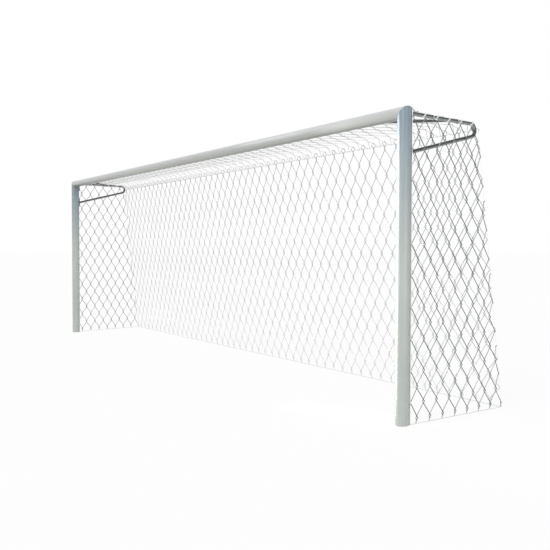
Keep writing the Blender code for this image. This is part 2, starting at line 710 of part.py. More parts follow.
def make_nets(material):
    """The roof, back and side nets, each ending just short of the wires and rods that hold it."""
    rod_out, rod_back = net_rod_offset()
    front_y = net_front()
    bottom_z = net_bottom()
    seam_y, seam_z = rear_seam()
    orbit = BRACKET_BEND_RADIUS + BRACKET_RADIUS + SEAT_GAP + NET_THICKNESS / 2
    inner_x = POST_X + BRACKET_RADIUS
    side_x_top = inner_x + SEAT_GAP + NET_THICKNESS / 2
    side_x_ground = POST_X + NET_SPLAY_AT_GROUND
    seam_gap = REAR_WIRE_RADIUS + SEAT_GAP

    roof_front_z = CROSSBAR_Z + rod_out
    roof_rear_z = BEND_Z + orbit
    roof_flat = math.hypot(BEND_Y - front_y, roof_front_z - roof_rear_z)
    seam_turn = math.atan2(seam_z - BEND_Z, seam_y - BEND_Y)
    wrap_step = (math.pi / 2 - seam_turn) / WRAP_STEPS
    wrap_radius = orbit / math.cos(wrap_step / 2)
    chord = 2 * wrap_radius * math.sin(wrap_step / 2)
    chord_lean = (wrap_radius - rear_wire_orbit()) * math.sin(wrap_step / 2)
    roof_length = roof_flat + WRAP_STEPS * chord - seam_gap - chord_lean

    def wrap_corner(s, step):
        turn = math.pi / 2 - wrap_step * step
        return Vector((s, BEND_Y + wrap_radius * math.cos(turn), BEND_Z + wrap_radius * math.sin(turn)))

    def place_roof(s, t):
        if t <= roof_flat:
            front = Vector((s, front_y, roof_front_z))
            return front.lerp(Vector((s, BEND_Y, roof_rear_z)), t / roof_flat)
        step, rest = divmod((t - roof_flat) / chord, 1)
        return wrap_corner(s, step).lerp(wrap_corner(s, step + 1), rest)

    folds = [roof_flat + index * chord for index in range(WRAP_STEPS)]
    roof = [(-inner_x, 0), (inner_x, 0), (inner_x, roof_length), (-inner_x, roof_length)]
    net_sheet("roof_net", roof, place_roof, material, folds)

    slope = Vector((NET_DEPTH_AT_GROUND - seam_y, bottom_z - seam_z))
    back_length = slope.length - seam_gap
    slope.normalize()
    back_x_ground = side_x_ground - NET_THICKNESS / 2 - SEAT_GAP

    def place_back(s, t):
        return Vector((s, NET_DEPTH_AT_GROUND - t * slope.x, bottom_z - t * slope.y))

    back = [(-back_x_ground, 0), (back_x_ground, 0), (inner_x, back_length), (-inner_x, back_length)]
    net_sheet("back_net", back, place_back, material)

    def splay(y, z):
        climb = (z - bottom_z) / (seam_z - bottom_z)
        rear_y = NET_DEPTH_AT_GROUND + climb * (seam_y - NET_DEPTH_AT_GROUND)
        rear_x = side_x_ground + climb * (side_x_top - side_x_ground)
        front_x = POST_X + rod_out
        return front_x + (rear_x - front_x) * (y - front_y) / (rear_y - front_y)

    cheek = [
        (front_y, bottom_z),
        (NET_DEPTH_AT_GROUND, bottom_z),
        (seam_y, seam_z),
        (BEND_Y, roof_rear_z),
        (front_y, roof_front_z),
    ]
    for side, label in SIDES:
        def place_side(y, z, side=side):
            return Vector((side * splay(y, z), y, z))

        net_sheet(label + "_side_net", cheek, place_side, material)


remove_everything()
GOAL = new_collection("soccer_goal")
GUIDES = new_collection("soccer_goal_cutters")

GROUND = bpy.data.objects.new("ground", None)
GOAL.objects.link(GROUND)
FRAME = bpy.data.objects.new("lift_out", None)
FRAME.parent = GROUND
GOAL.objects.link(FRAME)

aluminium = new_material("aluminium_profile", (0.50, 0.53, 0.55), 0.6, 0.45)
casting = new_material("aluminium_casting", (0.45, 0.45, 0.46), 0.9, 0.5)
dark_steel = new_material("dark_steel_tube", (0.08, 0.085, 0.09), 0.5, 0.5)
zinc = new_material("zinc_plated_steel", (0.55, 0.55, 0.55), 1.0, 0.35)
galvanised = new_material("galvanised_steel", (0.42, 0.43, 0.44), 0.9, 0.5)
net_wire = new_material("galvanised_net_wire", (0.62, 0.64, 0.65), 0.6, 0.45)
plug_plastic = new_material("foot_plug_plastic", (0.05, 0.05, 0.05), 0.0, 0.6)

make_posts(aluminium)
make_crossbar(aluminium)
make_corner_connectors(casting, zinc)
make_feet(plug_plastic, galvanised)
make_brackets(dark_steel)
make_plates(dark_steel, zinc, zinc)
make_net_rods_and_wires(galvanised)
make_nets(net_wire)
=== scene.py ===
"""A full-size in-ground soccer goal with a woven wire net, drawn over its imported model.

Everything is in metres. The goal line runs along X, the field of play is towards -Y, and z = 0 is the ground.
"""

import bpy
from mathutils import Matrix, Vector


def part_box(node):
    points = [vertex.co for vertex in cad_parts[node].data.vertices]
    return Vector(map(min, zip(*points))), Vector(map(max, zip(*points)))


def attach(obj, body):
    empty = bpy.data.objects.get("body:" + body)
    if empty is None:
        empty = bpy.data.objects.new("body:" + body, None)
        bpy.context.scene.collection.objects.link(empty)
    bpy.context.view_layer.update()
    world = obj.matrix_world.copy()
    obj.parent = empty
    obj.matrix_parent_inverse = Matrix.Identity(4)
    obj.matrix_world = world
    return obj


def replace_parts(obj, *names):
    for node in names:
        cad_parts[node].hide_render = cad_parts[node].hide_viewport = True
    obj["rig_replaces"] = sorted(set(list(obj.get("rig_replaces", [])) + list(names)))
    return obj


bl_info = {
    "name": "Soccer Goal",
    "version": (1, 0, 0),
    "blender": (4, 5, 0),
    "location": "3D View > Sidebar > Goal",
    "description": "Builds the visible pieces, finishes and stage of a full-size soccer goal",
    "category": "Object",
}

import math
from functools import partial

import bmesh
import bpy
from bpy.props import FloatProperty, FloatVectorProperty, PointerProperty
from mathutils import Euler, Matrix, Vector

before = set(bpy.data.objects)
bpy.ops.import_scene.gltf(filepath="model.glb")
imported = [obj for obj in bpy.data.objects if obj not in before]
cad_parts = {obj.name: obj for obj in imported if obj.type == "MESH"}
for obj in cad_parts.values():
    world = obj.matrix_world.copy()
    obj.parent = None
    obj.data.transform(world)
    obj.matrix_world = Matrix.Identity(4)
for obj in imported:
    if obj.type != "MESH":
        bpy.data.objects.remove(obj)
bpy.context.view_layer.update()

# The frame's own places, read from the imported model
POST_LOW, POST_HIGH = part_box("right_post")
POST_X = (POST_LOW.x + POST_HIGH.x) / 2
HALF_WIDTH = (POST_HIGH.x - POST_LOW.x) / 2
HALF_DEPTH = (POST_HIGH.y - POST_LOW.y) / 2
CROSSBAR_Z = POST_HIGH.z - HALF_WIDTH
FOOT_Z = POST_LOW.z
ROD_X = sum(corner.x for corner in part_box("right_net_rod")) / 2
ROD_Y = sum(corner.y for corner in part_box("right_net_rod")) / 2
ROOF_ROD_Z = sum(corner.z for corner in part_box("crossbar_net_rod")) / 2
SEAM_Y = sum(corner.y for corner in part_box("rear_top_wire")) / 2
SEAM_Z = sum(corner.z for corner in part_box("rear_top_wire")) / 2
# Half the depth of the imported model's net panels
HALF_NET = 0.0025
CORNER_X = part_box("right_side_net")[1].x - HALF_NET
CORNER_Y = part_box("back_net")[1].y - HALF_NET
NET_FOOT_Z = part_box("back_net")[0].z
# Where the side nets meet the rear top wire
SEAM_X = 3.7325
SIDES = ((-1, "left"), (1, "right"))
LABELS = ("left", "right")
PLATES = ("top", "lower", "brace")
GOAL_BODY = "goal"
ALONG_X = (0, math.pi / 2, 0)
ALONG_Y = (math.pi / 2, 0, 0)
# The gap between pieces that touch, and a distance that counts as none
SEAT_GAP = 0.0003
TINY = 0.00001


def srgb(code):
    """A hex colour as linear red, green and blue."""
    channels = [int(code[index:index + 2], 16) / 255 for index in (1, 3, 5)]
    return tuple(c / 12.92 if c <= 0.04045 else ((c + 0.055) / 1.055) ** 2.4 for c in channels)


def metres(name, description, default):
    return FloatProperty(name=name, description=description, default=default, min=0, unit="LENGTH")


def level(name, description, default):
    return FloatProperty(name=name, description=description, default=default, min=0)


def colour(name, description, code):
    return FloatVectorProperty(
        name=name, description=description, default=srgb(code), subtype="COLOR", min=0, max=1
    )


class GoalFrameSizes(bpy.types.PropertyGroup):
    squareness: FloatProperty(
        name="Profile squareness",
        description="Power of the profile's oval: 2 is an ellipse, and more is squarer",
        default=2.3,
        min=2,
    )
    wall: metres("Profile wall", "Thickness of the posts' and crossbar's wall", 0.003)
    groove_opening: metres("Groove opening", "Width of the slot along the rear", 0.015)
    groove_lip: metres("Groove lip", "Depth of the lips that the slot nuts pull on", 0.003)
    groove_width: metres("Groove width", "Width of the groove behind its lips", 0.022)
    groove_depth: metres("Groove depth", "Depth of the groove behind its lips", 0.010)
    mitre_gap: metres("Mitre gap", "Gap along X between a post and the crossbar", SEAT_GAP * math.sqrt(2))
    mitre_chamfer: metres("Mitre chamfer", "Broken edge round each mitred end", 0.0008)
    screw_first: metres("First connector screw", "Distance of the first screw from the corner", 0.142)
    screw_pitch: metres("Connector screw pitch", "Distance between a connector's screws", 0.062)
    screw_hole: metres("Screw hole radius", "Radius of the holes for the connector screws", 0.0042)


class GoalBracketSizes(bpy.types.PropertyGroup):
    root_y: metres("Tube root", "Where the tubes meet their plates, behind the goal line", 0.0666)
    tube_radius: metres("Bracket tube radius", "Outside radius of the net bracket", 0.016)
    tube_wall: metres("Tube wall", "Wall of the bracket and the brace", 0.002)
    arm_z: metres("Top arm height", "Height of the bracket's top arm", 2.495)
    lower_root_z: metres("Lower root height", "Height of the lower arm at its plate", 2.185)
    bend_y: metres("Bend centre", "Distance of the bend's centre behind the goal line", 0.8235)
    bend_radius: metres("Bend radius", "Radius of the bend's centre line", 0.0555)
    brace_radius: metres("Brace radius", "Outside radius of the diagonal brace", 0.0125)
    brace_spread: metres("Brace spread", "Distance from the post to the brace's root on the crossbar", 0.50)
    brace_reach: metres("Brace reach", "Where the brace meets the top arm", 0.56)
    cope_gap: metres("Cope gap", "Gap between the brace's coped end and the top arm", SEAT_GAP)
    bead: metres("Weld bead", "Radius of the bead round each tube's joint", 0.0032)


class GoalFastenerSizes(bpy.types.PropertyGroup):
    plate_corner: metres("Plate corner", "Radius of the plates' corners", 0.006)
    plate_edge: metres("Plate edge", "Broken edge round the plates", 0.0006)
    bolt_hole: metres("Bolt hole radius", "Radius of the plates' holes", 0.0044)
    shank: metres("Shank radius", "Radius of the bolts' and screws' shanks", 0.004)
    bolt_head: metres("Bolt head radius", "Across-corner radius of the hexagon heads", 0.0075)
    bolt_head_height: metres("Bolt head height", "Height of a hexagon head with its flange", 0.0053)
    screw_head: metres("Screw head radius", "Radius of the connector screws' heads", 0.0065)
    screw_head_height: metres("Screw head height", "Height of the connector screws' heads", 0.004)
    head_edge: metres("Head edge", "Broken edge round a head", 0.0008)
    flange_radius: metres("Bolt flange radius", "Radius of the flange under a bolt's head", 0.0088)
    flange_height: metres("Bolt flange height", "Thickness of that flange", 0.0012)
    flange_edge: metres("Bolt flange edge", "Broken edge round that flange", 0.0004)
    socket_radius: metres("Socket radius", "Across-corner radius of the connector screws' sockets", 0.0029)
    socket_depth: metres("Socket depth", "Depth of those sockets", 0.0024)


class GoalNetSizes(bpy.types.PropertyGroup):
    wire: metres("Net wire radius", "Radius of the back and roof nets' wire", 0.0034)
    side_wire: metres("Side net wire radius", "Radius of the side nets' wire", 0.0037)
    corner_wire: metres("Corner wire radius", "Radius of the wire down each rear corner", 0.0012)
    rod: metres("Net rod radius", "Radius of the rods behind the posts and the crossbar", 0.004)
    rear_wire: metres("Rear wire radius", "Radius of the wire along the net's top rear edge", 0.003)
    ground_wire: metres("Ground wire radius", "Radius of the wire round the net's foot", 0.0035)
    ground_bend: metres("Ground wire bend", "Length of the ground wire's bend at each rear corner", 0.03)
    side_half_column: metres("Side net column", "Half a diamond's width in the side nets", 0.07552)
    half_column: metres("Back net column", "Half a diamond's width in the back and roof nets", 0.07665)
    side_row: metres("Side net row", "Half a diamond's height in the side nets", 0.1275)
    first_row: metres("First row", "Height of the lowest row of hooked turns", 0.045)
    back_top_row: metres("Back net, top row", "Height of its highest row of hooked turns", 2.285)
    roof_first_row: metres("Roof net, first row", "Distance of its first turns behind the goal line", 0.168)
    roof_row: metres("Roof net row", "Half a diamond's depth in the roof net", 0.157)
    eyelet_z: metres("Eyelet neck height", "Where the wires of an eyelet come together", 2.405)
    eyelet_neck: metres("Eyelet neck", "Length along which the two wires twist", 0.034)
    eyelet_radius: metres("Eyelet radius", "Radius of the eyelets' centre line", 0.0245)
    arm_lean: metres("Arm turn lean", "How far a side wire moves along the arm as it goes over", 0.09)
    hook: metres("Turn overlap", "How far a turn reaches past the line of its column", 0.0102)
    turn: metres("Turn height", "Half the height of a turn", 0.0036)
    offset: metres("Strand offset", "How far the strands lie from the net's middle", 0.0037)


class GoalFinishes(bpy.types.PropertyGroup):
    # Painted reflection: the posts' colour turns from the foot's to a bluer, darker one towards their top
    post_top_painted_reflection: colour("Post, top", "Anodised post near the crossbar", "#8796A1")
    post_foot: colour("Post, foot", "Anodised post below half its height", "#BCC1BD")
    # Painted light: the crossbar is lighter along its top and darker along its underside
    crossbar_lit_top: colour("Crossbar, top", "Anodised crossbar along its top", "#CBCBD0")
    crossbar_shaded_bottom: colour("Crossbar, bottom", "Anodised crossbar along its underside", "#B4B7B0")
    casting: colour("Cast aluminium", "Corner connectors", "#A6A8AA")
    # Painted reflection: brackets, braces, beads and plates turn from the dark coat on top to a pale grey
    # underneath
    dark_steel: colour("Coated steel, top", "Upper side of brackets, braces and plates", "#36393C")
    steel_floor_reflection: colour("Coated steel, underside", "Underside of brackets and braces", "#9A9D9E")
    zinc: colour("Zinc plating", "Bolts, screws and slot nuts", "#C4C8CB")
    galvanised: colour("Galvanised steel", "Sockets and net rods", "#A9ADAF")
    bright_wire: colour("Edge wire", "Bright wires along the net's rear and foot", "#E2E5E6")
    # Painted light: lit and shaded copies of the net wire's colour, mixed by which way a strand faces
    shaded_net_wire: colour("Net wire, dull", "Strands turned away from the rain", "#6B6F72")
    lit_net_wire: colour("Net wire, pale", "Strands washed by the rain", "#DDE0E0")
    # Painted light: the roof net's lit colour, almost white
    lit_roof_wire: colour("Roof net wire, pale", "Newest wire, in the roof net", "#F6F7F7")
    plug: colour("Plug plastic", "Foot plugs", "#26272A")
    ground: colour("Floor", "The plain floor", "#FCFCFA")


class GoalStudio(bpy.types.PropertyGroup):
    lens: FloatProperty(name="Lens", description="Focal length in millimetres", default=44.22, min=1)
    top: level("Top light", "Strength of the light from the front top", 1.8)
    right: level("Right light", "Strength of the low light from the right", 0.45)
    strip: level("Strip light", "Power of the strip beside the near post", 8)
    top_strip: level("Top strip light", "Power of the strip that rims the near post's top", 1.6)
    fill: level("Fill", "Strength of the even light all round", 0.4)


# Modelling

def deselect():
    bpy.ops.object.select_all(action="DESELECT")


def named(name):
    """The object that an operator has just added, given its name."""
    piece = bpy.context.object
    piece.name = name
    piece.data.name = name
    return piece


def use(piece):
    """Makes one object the selected and active one."""
    deselect()
    piece.select_set(True)
    bpy.context.view_layer.objects.active = piece


def edit(piece):
    """Opens a piece in edit mode, with all of it selected."""
    use(piece)
    bpy.ops.object.mode_set(mode="EDIT")
    bpy.ops.mesh.select_all(action="SELECT")


def done():
    """Leaves edit mode."""
    bpy.ops.object.mode_set(mode="OBJECT")


def select_edges(piece, test):
    """Selects the edges of the edited piece that pass a test."""
    bpy.ops.mesh.select_mode(type="EDGE")
    bpy.ops.mesh.select_all(action="DESELECT")
    mesh = bmesh.from_edit_mesh(piece.data)
    for edge in mesh.edges:
        if test(edge):
            edge.select_set(True)
    mesh.select_flush_mode()
    bmesh.update_edit_mesh(piece.data)


def along(edge, axis):
    """Whether an edge lies along an axis."""
    return (edge.verts[1].co - edge.verts[0].co).normalized()[axis] ** 2 > 0.99


def place(piece):
    """Puts a piece's place into its mesh, with the object at the origin."""
    use(piece)
    bpy.ops.object.transform_apply(location=True, rotation=True, scale=True)


def apply(piece, kind, **settings):
    """Adds a modifier with its settings and applies it."""
    use(piece)
    modifier = piece.modifiers.new(kind.lower(), kind)
    for name, value in settings.items():
        setattr(modifier, name, value)
    bpy.ops.object.modifier_apply(modifier=modifier.name)


def combine(piece, other, operation):
    """Cuts another object out of a piece or joins it on, and removes it."""
    apply(piece, "BOOLEAN", object=other, operation=operation, solver="EXACT")
    bpy.data.objects.remove(other, do_unlink=True)


def cut_off(point, normal, fill=False):
    """In edit mode, takes away what lies beyond a plane, and closes the cut if asked to."""
    bpy.ops.mesh.select_all(action="SELECT")
    bpy.ops.mesh.bisect(plane_co=point, plane_no=normal, use_fill=fill, clear_outer=True)


def draw_out(way):
    """In edit mode, draws the selected outline out by a distance."""
    bpy.ops.mesh.extrude_region_move(TRANSFORM_OT_translate={"value": way})


def break_edges(offset, segments):
    """In edit mode, bevels the selected edges."""
    bpy.ops.mesh.bevel(offset=offset, segments=segments, affect="EDGES")


def cylinder(name, radius, depth, middle, sides, turn=ALONG_Y):
    """A bar with many sides round its middle, along Y unless it is turned otherwise."""
    deselect()
    bpy.ops.mesh.primitive_cylinder_add(
        vertices=sides, radius=radius, depth=depth, location=middle, rotation=turn
    )
    return named(name)


def outward():
    """In edit mode, closes doubled points and turns every face outwards."""
    bpy.ops.mesh.select_all(action="SELECT")
    bpy.ops.mesh.remove_doubles(threshold=2 * TINY)
    bpy.ops.mesh.normals_make_consistent(inside=False)


def dress(piece, material, slot, *nodes, smooth=32):
    """Shades a finished piece, gives it its material and body, and hides the nodes that it stands for."""
    place(piece)
    bpy.ops.object.shade_smooth_by_angle(angle=math.radians(smooth))
    piece.data.materials.clear()
    piece.data.materials.append(material)
    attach(piece, GOAL_BODY)
    if nodes:
        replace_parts(piece, *nodes)


def dress_node(name, material):
    """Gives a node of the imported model, which keeps its shape, a finish."""
    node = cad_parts[name]
    node.data.materials.clear()
    node.data.materials.append(material)


def meshed(name, curve):
    """A curve's mesh, under its name."""
    piece = bpy.data.objects.new(name, curve)
    bpy.context.scene.collection.objects.link(piece)
    use(piece)
    bpy.ops.object.convert(target="MESH")
    return named(name)


def curve_piece(name, lines, radius, sides=6, cyclic=False):
    """A mesh of round wires, each along its own line of points, or of points with a thickness."""
    curve = bpy.data.curves.new(name, "CURVE")
    curve.dimensions = "3D"
    curve.bevel_depth = radius
    curve.bevel_resolution = sides // 2 - 2
    curve.use_fill_caps = True
    for line in lines:
        spline = curve.splines.new("POLY")
        spline.use_cyclic_u = cyclic
        spline.points.add(len(line) - 1)
        for target, point in zip(spline.points, line):
            target.co = (*point[:3], 1)
            target.radius = point[3] if len(point) > 3 else 1
    return meshed(name, curve)


def flat_shape(name, outlines):
    """A flat mesh inside closed outlines, with a hole where one lies inside another."""
    curve = bpy.data.curves.new(name, "CURVE")
    curve.dimensions = "2D"
    curve.fill_mode = "FRONT"
    for outline in outlines:
        spline = curve.splines.new("POLY")
        spline.use_cyclic_u = True
        spline.points.add(len(outline) - 1)
        for target, (x, y) in zip(spline.points, outline):
            target.co = (x, y, 0, 1)
    return meshed(name, curve)


# Materials

# A Mix node's colour sockets, which share their names with its other sockets
MIX_A = 6
MIX_B = 7
MIX_RESULT = 2
DOWN = (0, 0, -1)


def add_node(tree, kind, inputs, **settings):
    """Adds a shader node with its settings, and sets or links its inputs."""
    node = tree.nodes.new(kind)
    for name, value in settings.items():
        setattr(node, name, value)
    for name, value in inputs.items():
        if isinstance(value, bpy.types.NodeSocket):
            tree.links.new(value, node.inputs[name])
        else:
            node.inputs[name].default_value = value
    return node


def adder(owner):
    """Clears the nodes of a material or world, and gives the function that adds its new ones."""
    owner.use_nodes = True
    owner.node_tree.nodes.clear()
    return partial(add_node, owner.node_tree)


def new_material(name, finish):
    """A material whose shader's inputs come from a function that adds its nodes."""
    material = bpy.data.materials.get(name)
    if material:
        return material
    material = bpy.data.materials.new(name)
    add = adder(material)
    place = add("ShaderNodeTexCoord", {}).outputs["Object"]
    shader = add("ShaderNodeBsdfPrincipled", finish(add, place))
    add("ShaderNodeOutputMaterial", {"Surface": shader.outputs["BSDF"]})
    return material


def rgba(colour, factor=1.0):
    """A colour with its opacity, made lighter or darker."""
    return (*(min(1.0, channel * factor) for channel in colour[:3]), 1.0)


def facing(add, direction):
    """How far a surface is turned towards a direction: 1 when it faces it, and 0 when it lies along it."""
    surface = add("ShaderNodeNewGeometry", {})
    turned_to = add(
        "ShaderNodeVectorMath",
        {0: surface.outputs["Normal"], 1: Vector(direction).normalized()},
        operation="DOT_PRODUCT",
    )
    return turned_to.outputs["Value"]


def anodised_aluminium(name, axis, low, high):
    """Extruded aluminium, satin anodised: faint drawing lines along it, a colour that changes upwards as
    painted light, and a painted shade on its underside.

    low, high: a height and the colour there.
    """
    def finish(add, place):
        # Drawing lines 2 mm apart and half a metre long: finer ones would not show
        stretch = [1 / 0.002] * 3
        stretch[axis] = 1 / 0.5
        drawn = add("ShaderNodeMapping", {"Vector": place, "Scale": stretch})
        lines = add(
            "ShaderNodeTexNoise", {"Vector": drawn.outputs["Vector"], "Scale": 1.0, "Detail": 3.0}
        ).outputs["Fac"]
        # The anodising bath leaves a cloudy shade, about 0.4 m across
        cloud = add("ShaderNodeTexNoise", {"Vector": place, "Scale": 1 / 0.4, "Detail": 2.0})
        height = add("ShaderNodeSeparateXYZ", {"Vector": place})
        # Painted light: the colour changes with height between the two given colours
        climb = add(
            "ShaderNodeMapRange", {"Value": height.outputs["Z"], "From Min": low[0], "From Max": high[0]}
        )
        painted_light_tint = add(
            "ShaderNodeMix",
            {"Factor": climb.outputs["Result"], MIX_A: rgba(low[1]), MIX_B: rgba(high[1])},
            data_type="RGBA",
        )
        # Each varies the shade between two factors. Faces turned down are darker: painted shade.
        shade = 1.0
        for value, start, end, first, last in (
            (lines, 0.3, 0.7, 0.9, 1.06),
            (cloud.outputs["Fac"], 0.3, 0.7, 0.97, 1.02),
            (facing(add, DOWN), 0.8, 0.98, 1.0, 0.6),
        ):
            factor = add(
                "ShaderNodeMapRange",
                {"Value": value, "From Min": start, "From Max": end, "To Min": first, "To Max": last},
            )
            shade = add(
                "ShaderNodeMath", {0: shade, 1: factor.outputs["Result"]}, operation="MULTIPLY"
            ).outputs["Value"]
        base = add("ShaderNodeVectorMath", {0: painted_light_tint.outputs[MIX_RESULT], "Scale": shade}, operation="SCALE")
        rough = add(
            "ShaderNodeMapRange",
            {"Value": lines, "From Min": 0.3, "From Max": 0.7, "To Min": 0.28, "To Max": 0.38},
        )
        bump = add("ShaderNodeBump", {"Height": lines, "Strength": 0.15, "Distance": 0.0004})
        return {
            "Base Color": base.outputs["Vector"],
            "Metallic": 0.3,
            "Roughness": rough.outputs["Result"],
            "Normal": bump.outputs["Normal"],
        }

    return new_material(name, finish)


def post_aluminium():
    """The posts' aluminium, with a painted reflection: its colour turns bluer and darker from half their
    height to their top.
    """
    looks = bpy.context.scene.goal_finishes
    low = (1.35, looks.post_foot)
    high = (2.5, looks.post_top_painted_reflection)
    return anodised_aluminium("anodised_aluminium_posts", 2, low, high)


def crossbar_aluminium():
    """The crossbar's aluminium, with painted light: lighter on its top and darker towards its underside."""
    looks = bpy.context.scene.goal_finishes
    low = (CROSSBAR_Z - HALF_WIDTH, looks.crossbar_shaded_bottom)
    high = (CROSSBAR_Z + HALF_WIDTH, looks.crossbar_lit_top)
    return anodised_aluminium("anodised_aluminium_crossbar", 0, low, high)


def mottled(name, colour, metallic, grain, roughness, spread, depth, spangle=0.0, second=None):
    """A finish whose colour and roughness vary in grains of a real size.

    spangle: the size of its zinc crystals, if it has them.
    second: another colour, and a function that adds the nodes for its share.
    """
    def finish(add, place):
        noise = add("ShaderNodeTexNoise", {"Vector": place, "Scale": 1 / grain, "Detail": 4.0})
        value = noise.outputs["Fac"]
        if spangle:
            cells = add("ShaderNodeTexVoronoi", {"Vector": place, "Scale": 1 / spangle})
            crystal = add("ShaderNodeSeparateColor", {"Color": cells.outputs["Color"]})
            value = add(
                "ShaderNodeMath", {0: value, 1: crystal.outputs["Red"], 2: 0.25}, operation="MULTIPLY_ADD"
            ).outputs["Value"]
        shades = []
        for shade in (colour, second[0]) if second else (colour,):
            varied = add(
                "ShaderNodeMix",
                {"Factor": value, MIX_A: rgba(shade, 1 - spread), MIX_B: rgba(shade, 1 + spread)},
                data_type="RGBA",
            )
            shades.append(varied.outputs[MIX_RESULT])
        if second:
            share = second[1](add, place)
            both = add(
                "ShaderNodeMix", {"Factor": share, MIX_A: shades[0], MIX_B: shades[1]}, data_type="RGBA"
            )
            shades[0] = both.outputs[MIX_RESULT]
        rough = add(
            "ShaderNodeMapRange", {"Value": value, "To Min": roughness + 0.1, "To Max": roughness - 0.1}
        )
        bump = add("ShaderNodeBump", {"Height": value, "Strength": 0.3, "Distance": depth})
        return {
            "Base Color": shades[0],
            "Metallic": metallic,
            "Roughness": rough.outputs["Result"],
            "Normal": bump.outputs["Normal"],
        }

    return new_material(name, finish)


def cast_aluminium():
    """Sand-cast aluminium: dull and slightly pitted, grains about 2 mm."""
    looks = bpy.context.scene.goal_finishes
    return mottled(
        "cast_aluminium", looks.casting, metallic=0.9, grain=0.002, roughness=0.55, spread=0.25, depth=0.0004
    )


def powder_coated_steel(name="powder_coated_steel", reflected_share=1.0):
    """Dark powder coat on steel tube: semi-gloss with a fine orange peel, about 3 mm.

    The second argument: how far the underside is painted paler, as a painted reflection of the floor below.
    """
    looks = bpy.context.scene.goal_finishes

    # Painted reflection of the floor: the share of the pale colour on faces turned down
    def underside(add, place):
        share = add(
            "ShaderNodeMapRange",
            {"Value": facing(add, DOWN), "From Min": 0.0, "From Max": 0.3, "To Max": reflected_share},
        )
        return share.outputs["Result"]

    return mottled(
        name, looks.dark_steel, metallic=0.0, grain=0.003, roughness=0.42, spread=0.18, depth=0.0002,
        second=(looks.steel_floor_reflection, underside),
    )


def zinc_plated_steel():
    """Bright zinc plating on turned steel: cool, fairly glossy, slightly clouded, about 4 mm."""
    looks = bpy.context.scene.goal_finishes
    return mottled(
        "zinc_plated_steel", looks.zinc, metallic=1.0, grain=0.004, roughness=0.32, spread=0.2, depth=0.0001
    )


def galvanised_steel():
    """Hot-dip galvanised steel: grey zinc crystals about 9 mm across, each with its own shade and gloss."""
    looks = bpy.context.scene.goal_finishes
    return mottled(
        "hot_dip_galvanised", looks.galvanised, metallic=0.85, grain=0.003, roughness=0.46, spread=0.3,
        depth=0.0002, spangle=0.009,
    )


def galvanised_wire(name, pale, sunlight, most, axis, dull_at, pale_at, least=0.0):
    """Drawn wire with a zinc coat, in patches about 15 mm long, with painted light: paler on the side turned
    to a lamp, darker on the side turned away.

    It also grows paler from one place along an axis to another.
    """
    looks = bpy.context.scene.goal_finishes

    # Painted light: the share of the pale colour, from how far a strand faces the lamp and from its place
    # along the axis
    def painted_light_share(add, place):
        sunlit = add(
            "ShaderNodeMapRange",
            {"Value": facing(add, sunlight), "From Min": 0.1, "From Max": 0.55, "To Max": most},
        )
        position = add("ShaderNodeSeparateXYZ", {"Vector": place})
        further = add(
            "ShaderNodeMapRange",
            {"Value": position.outputs[axis], "From Min": dull_at, "From Max": pale_at, "To Min": least},
        )
        share = add(
            "ShaderNodeMath", {0: sunlit.outputs["Result"], 1: further.outputs["Result"]}, operation="MAXIMUM"
        )
        return share.outputs["Value"]

    return mottled(
        name, looks.shaded_net_wire, metallic=0.4, grain=0.015, roughness=0.36, spread=0.25, depth=0.0001,
        second=(pale, painted_light_share),
    )


def bright_wire():
    """Bright galvanised wire, almost white, with patches about 15 mm long."""
    looks = bpy.context.scene.goal_finishes
    return mottled(
        "bright_galvanised_wire", looks.bright_wire, metallic=0.9, grain=0.015, roughness=0.3,
        spread=0.1, depth=0.0001,
    )


def moulded_plastic():
    """Black moulded polyethylene: dull, with a fine mould grain, about 1 mm."""
    looks = bpy.context.scene.goal_finishes
    return mottled(
        "moulded_polyethylene", looks.plug, metallic=0.0, grain=0.001, roughness=0.6, spread=0.3, depth=0.0002
    )


# Posts and crossbar

def oval_point(half_u, half_v, turn):
    """A point on the squared-off oval of the extruded profile."""
    power = 2 / bpy.context.scene.goal_frame_sizes.squareness
    u = math.copysign(abs(math.cos(turn)) ** power, math.cos(turn)) * half_u
    v = math.copysign(abs(math.sin(turn)) ** power, math.sin(turn)) * half_v
    return u, v


def oval_arc(half_u, half_v, first, steps):
    """The oval from an angle beside the rear point, round the front, to the same angle mirrored."""
    last = -math.pi - first
    return [oval_point(half_u, half_v, first + (last - first) * step / steps) for step in range(steps + 1)]


def profile_outlines():
    """The profile's outside with the groove along its rear, and the hollow in front of the groove."""
    sizes = bpy.context.scene.goal_frame_sizes
    half_opening = sizes.groove_opening / 2
    half_groove = sizes.groove_width / 2
    ceiling = HALF_DEPTH - sizes.groove_lip
    floor = ceiling - sizes.groove_depth
    first = math.acos((half_opening / HALF_WIDTH) ** (sizes.squareness / 2))
    groove = [
        (-half_opening, ceiling),
        (-half_groove, ceiling),
        (-half_groove, floor),
        (half_groove, floor),
        (half_groove, ceiling),
        (half_opening, ceiling),
    ]
    half_v = HALF_DEPTH - sizes.wall
    hollow_first = math.asin(((floor - sizes.wall) / half_v) ** (sizes.squareness / 2))
    hollow = oval_arc(HALF_WIDTH - sizes.wall, half_v, hollow_first, steps=60)
    return [oval_arc(HALF_WIDTH, HALF_DEPTH, first, steps=84) + groove, hollow]


def extruded(name, outlines, length):
    """The flat shape, drawn out into a bar along Z."""
    piece = flat_shape(name, outlines)
    edit(piece)
    bpy.ops.mesh.remove_doubles(threshold=TINY)
    draw_out((0, 0, length))
    done()
    return piece


def on_outside(vert, centre, across):
    """Whether a vertex lies on the outside of the profile, which has its width along one axis."""
    power = bpy.context.scene.goal_frame_sizes.squareness
    u = abs(vert.co[across] - centre[across]) / HALF_WIDTH
    v = abs(vert.co.y) / HALF_DEPTH
    return u ** power + v ** power > 0.99


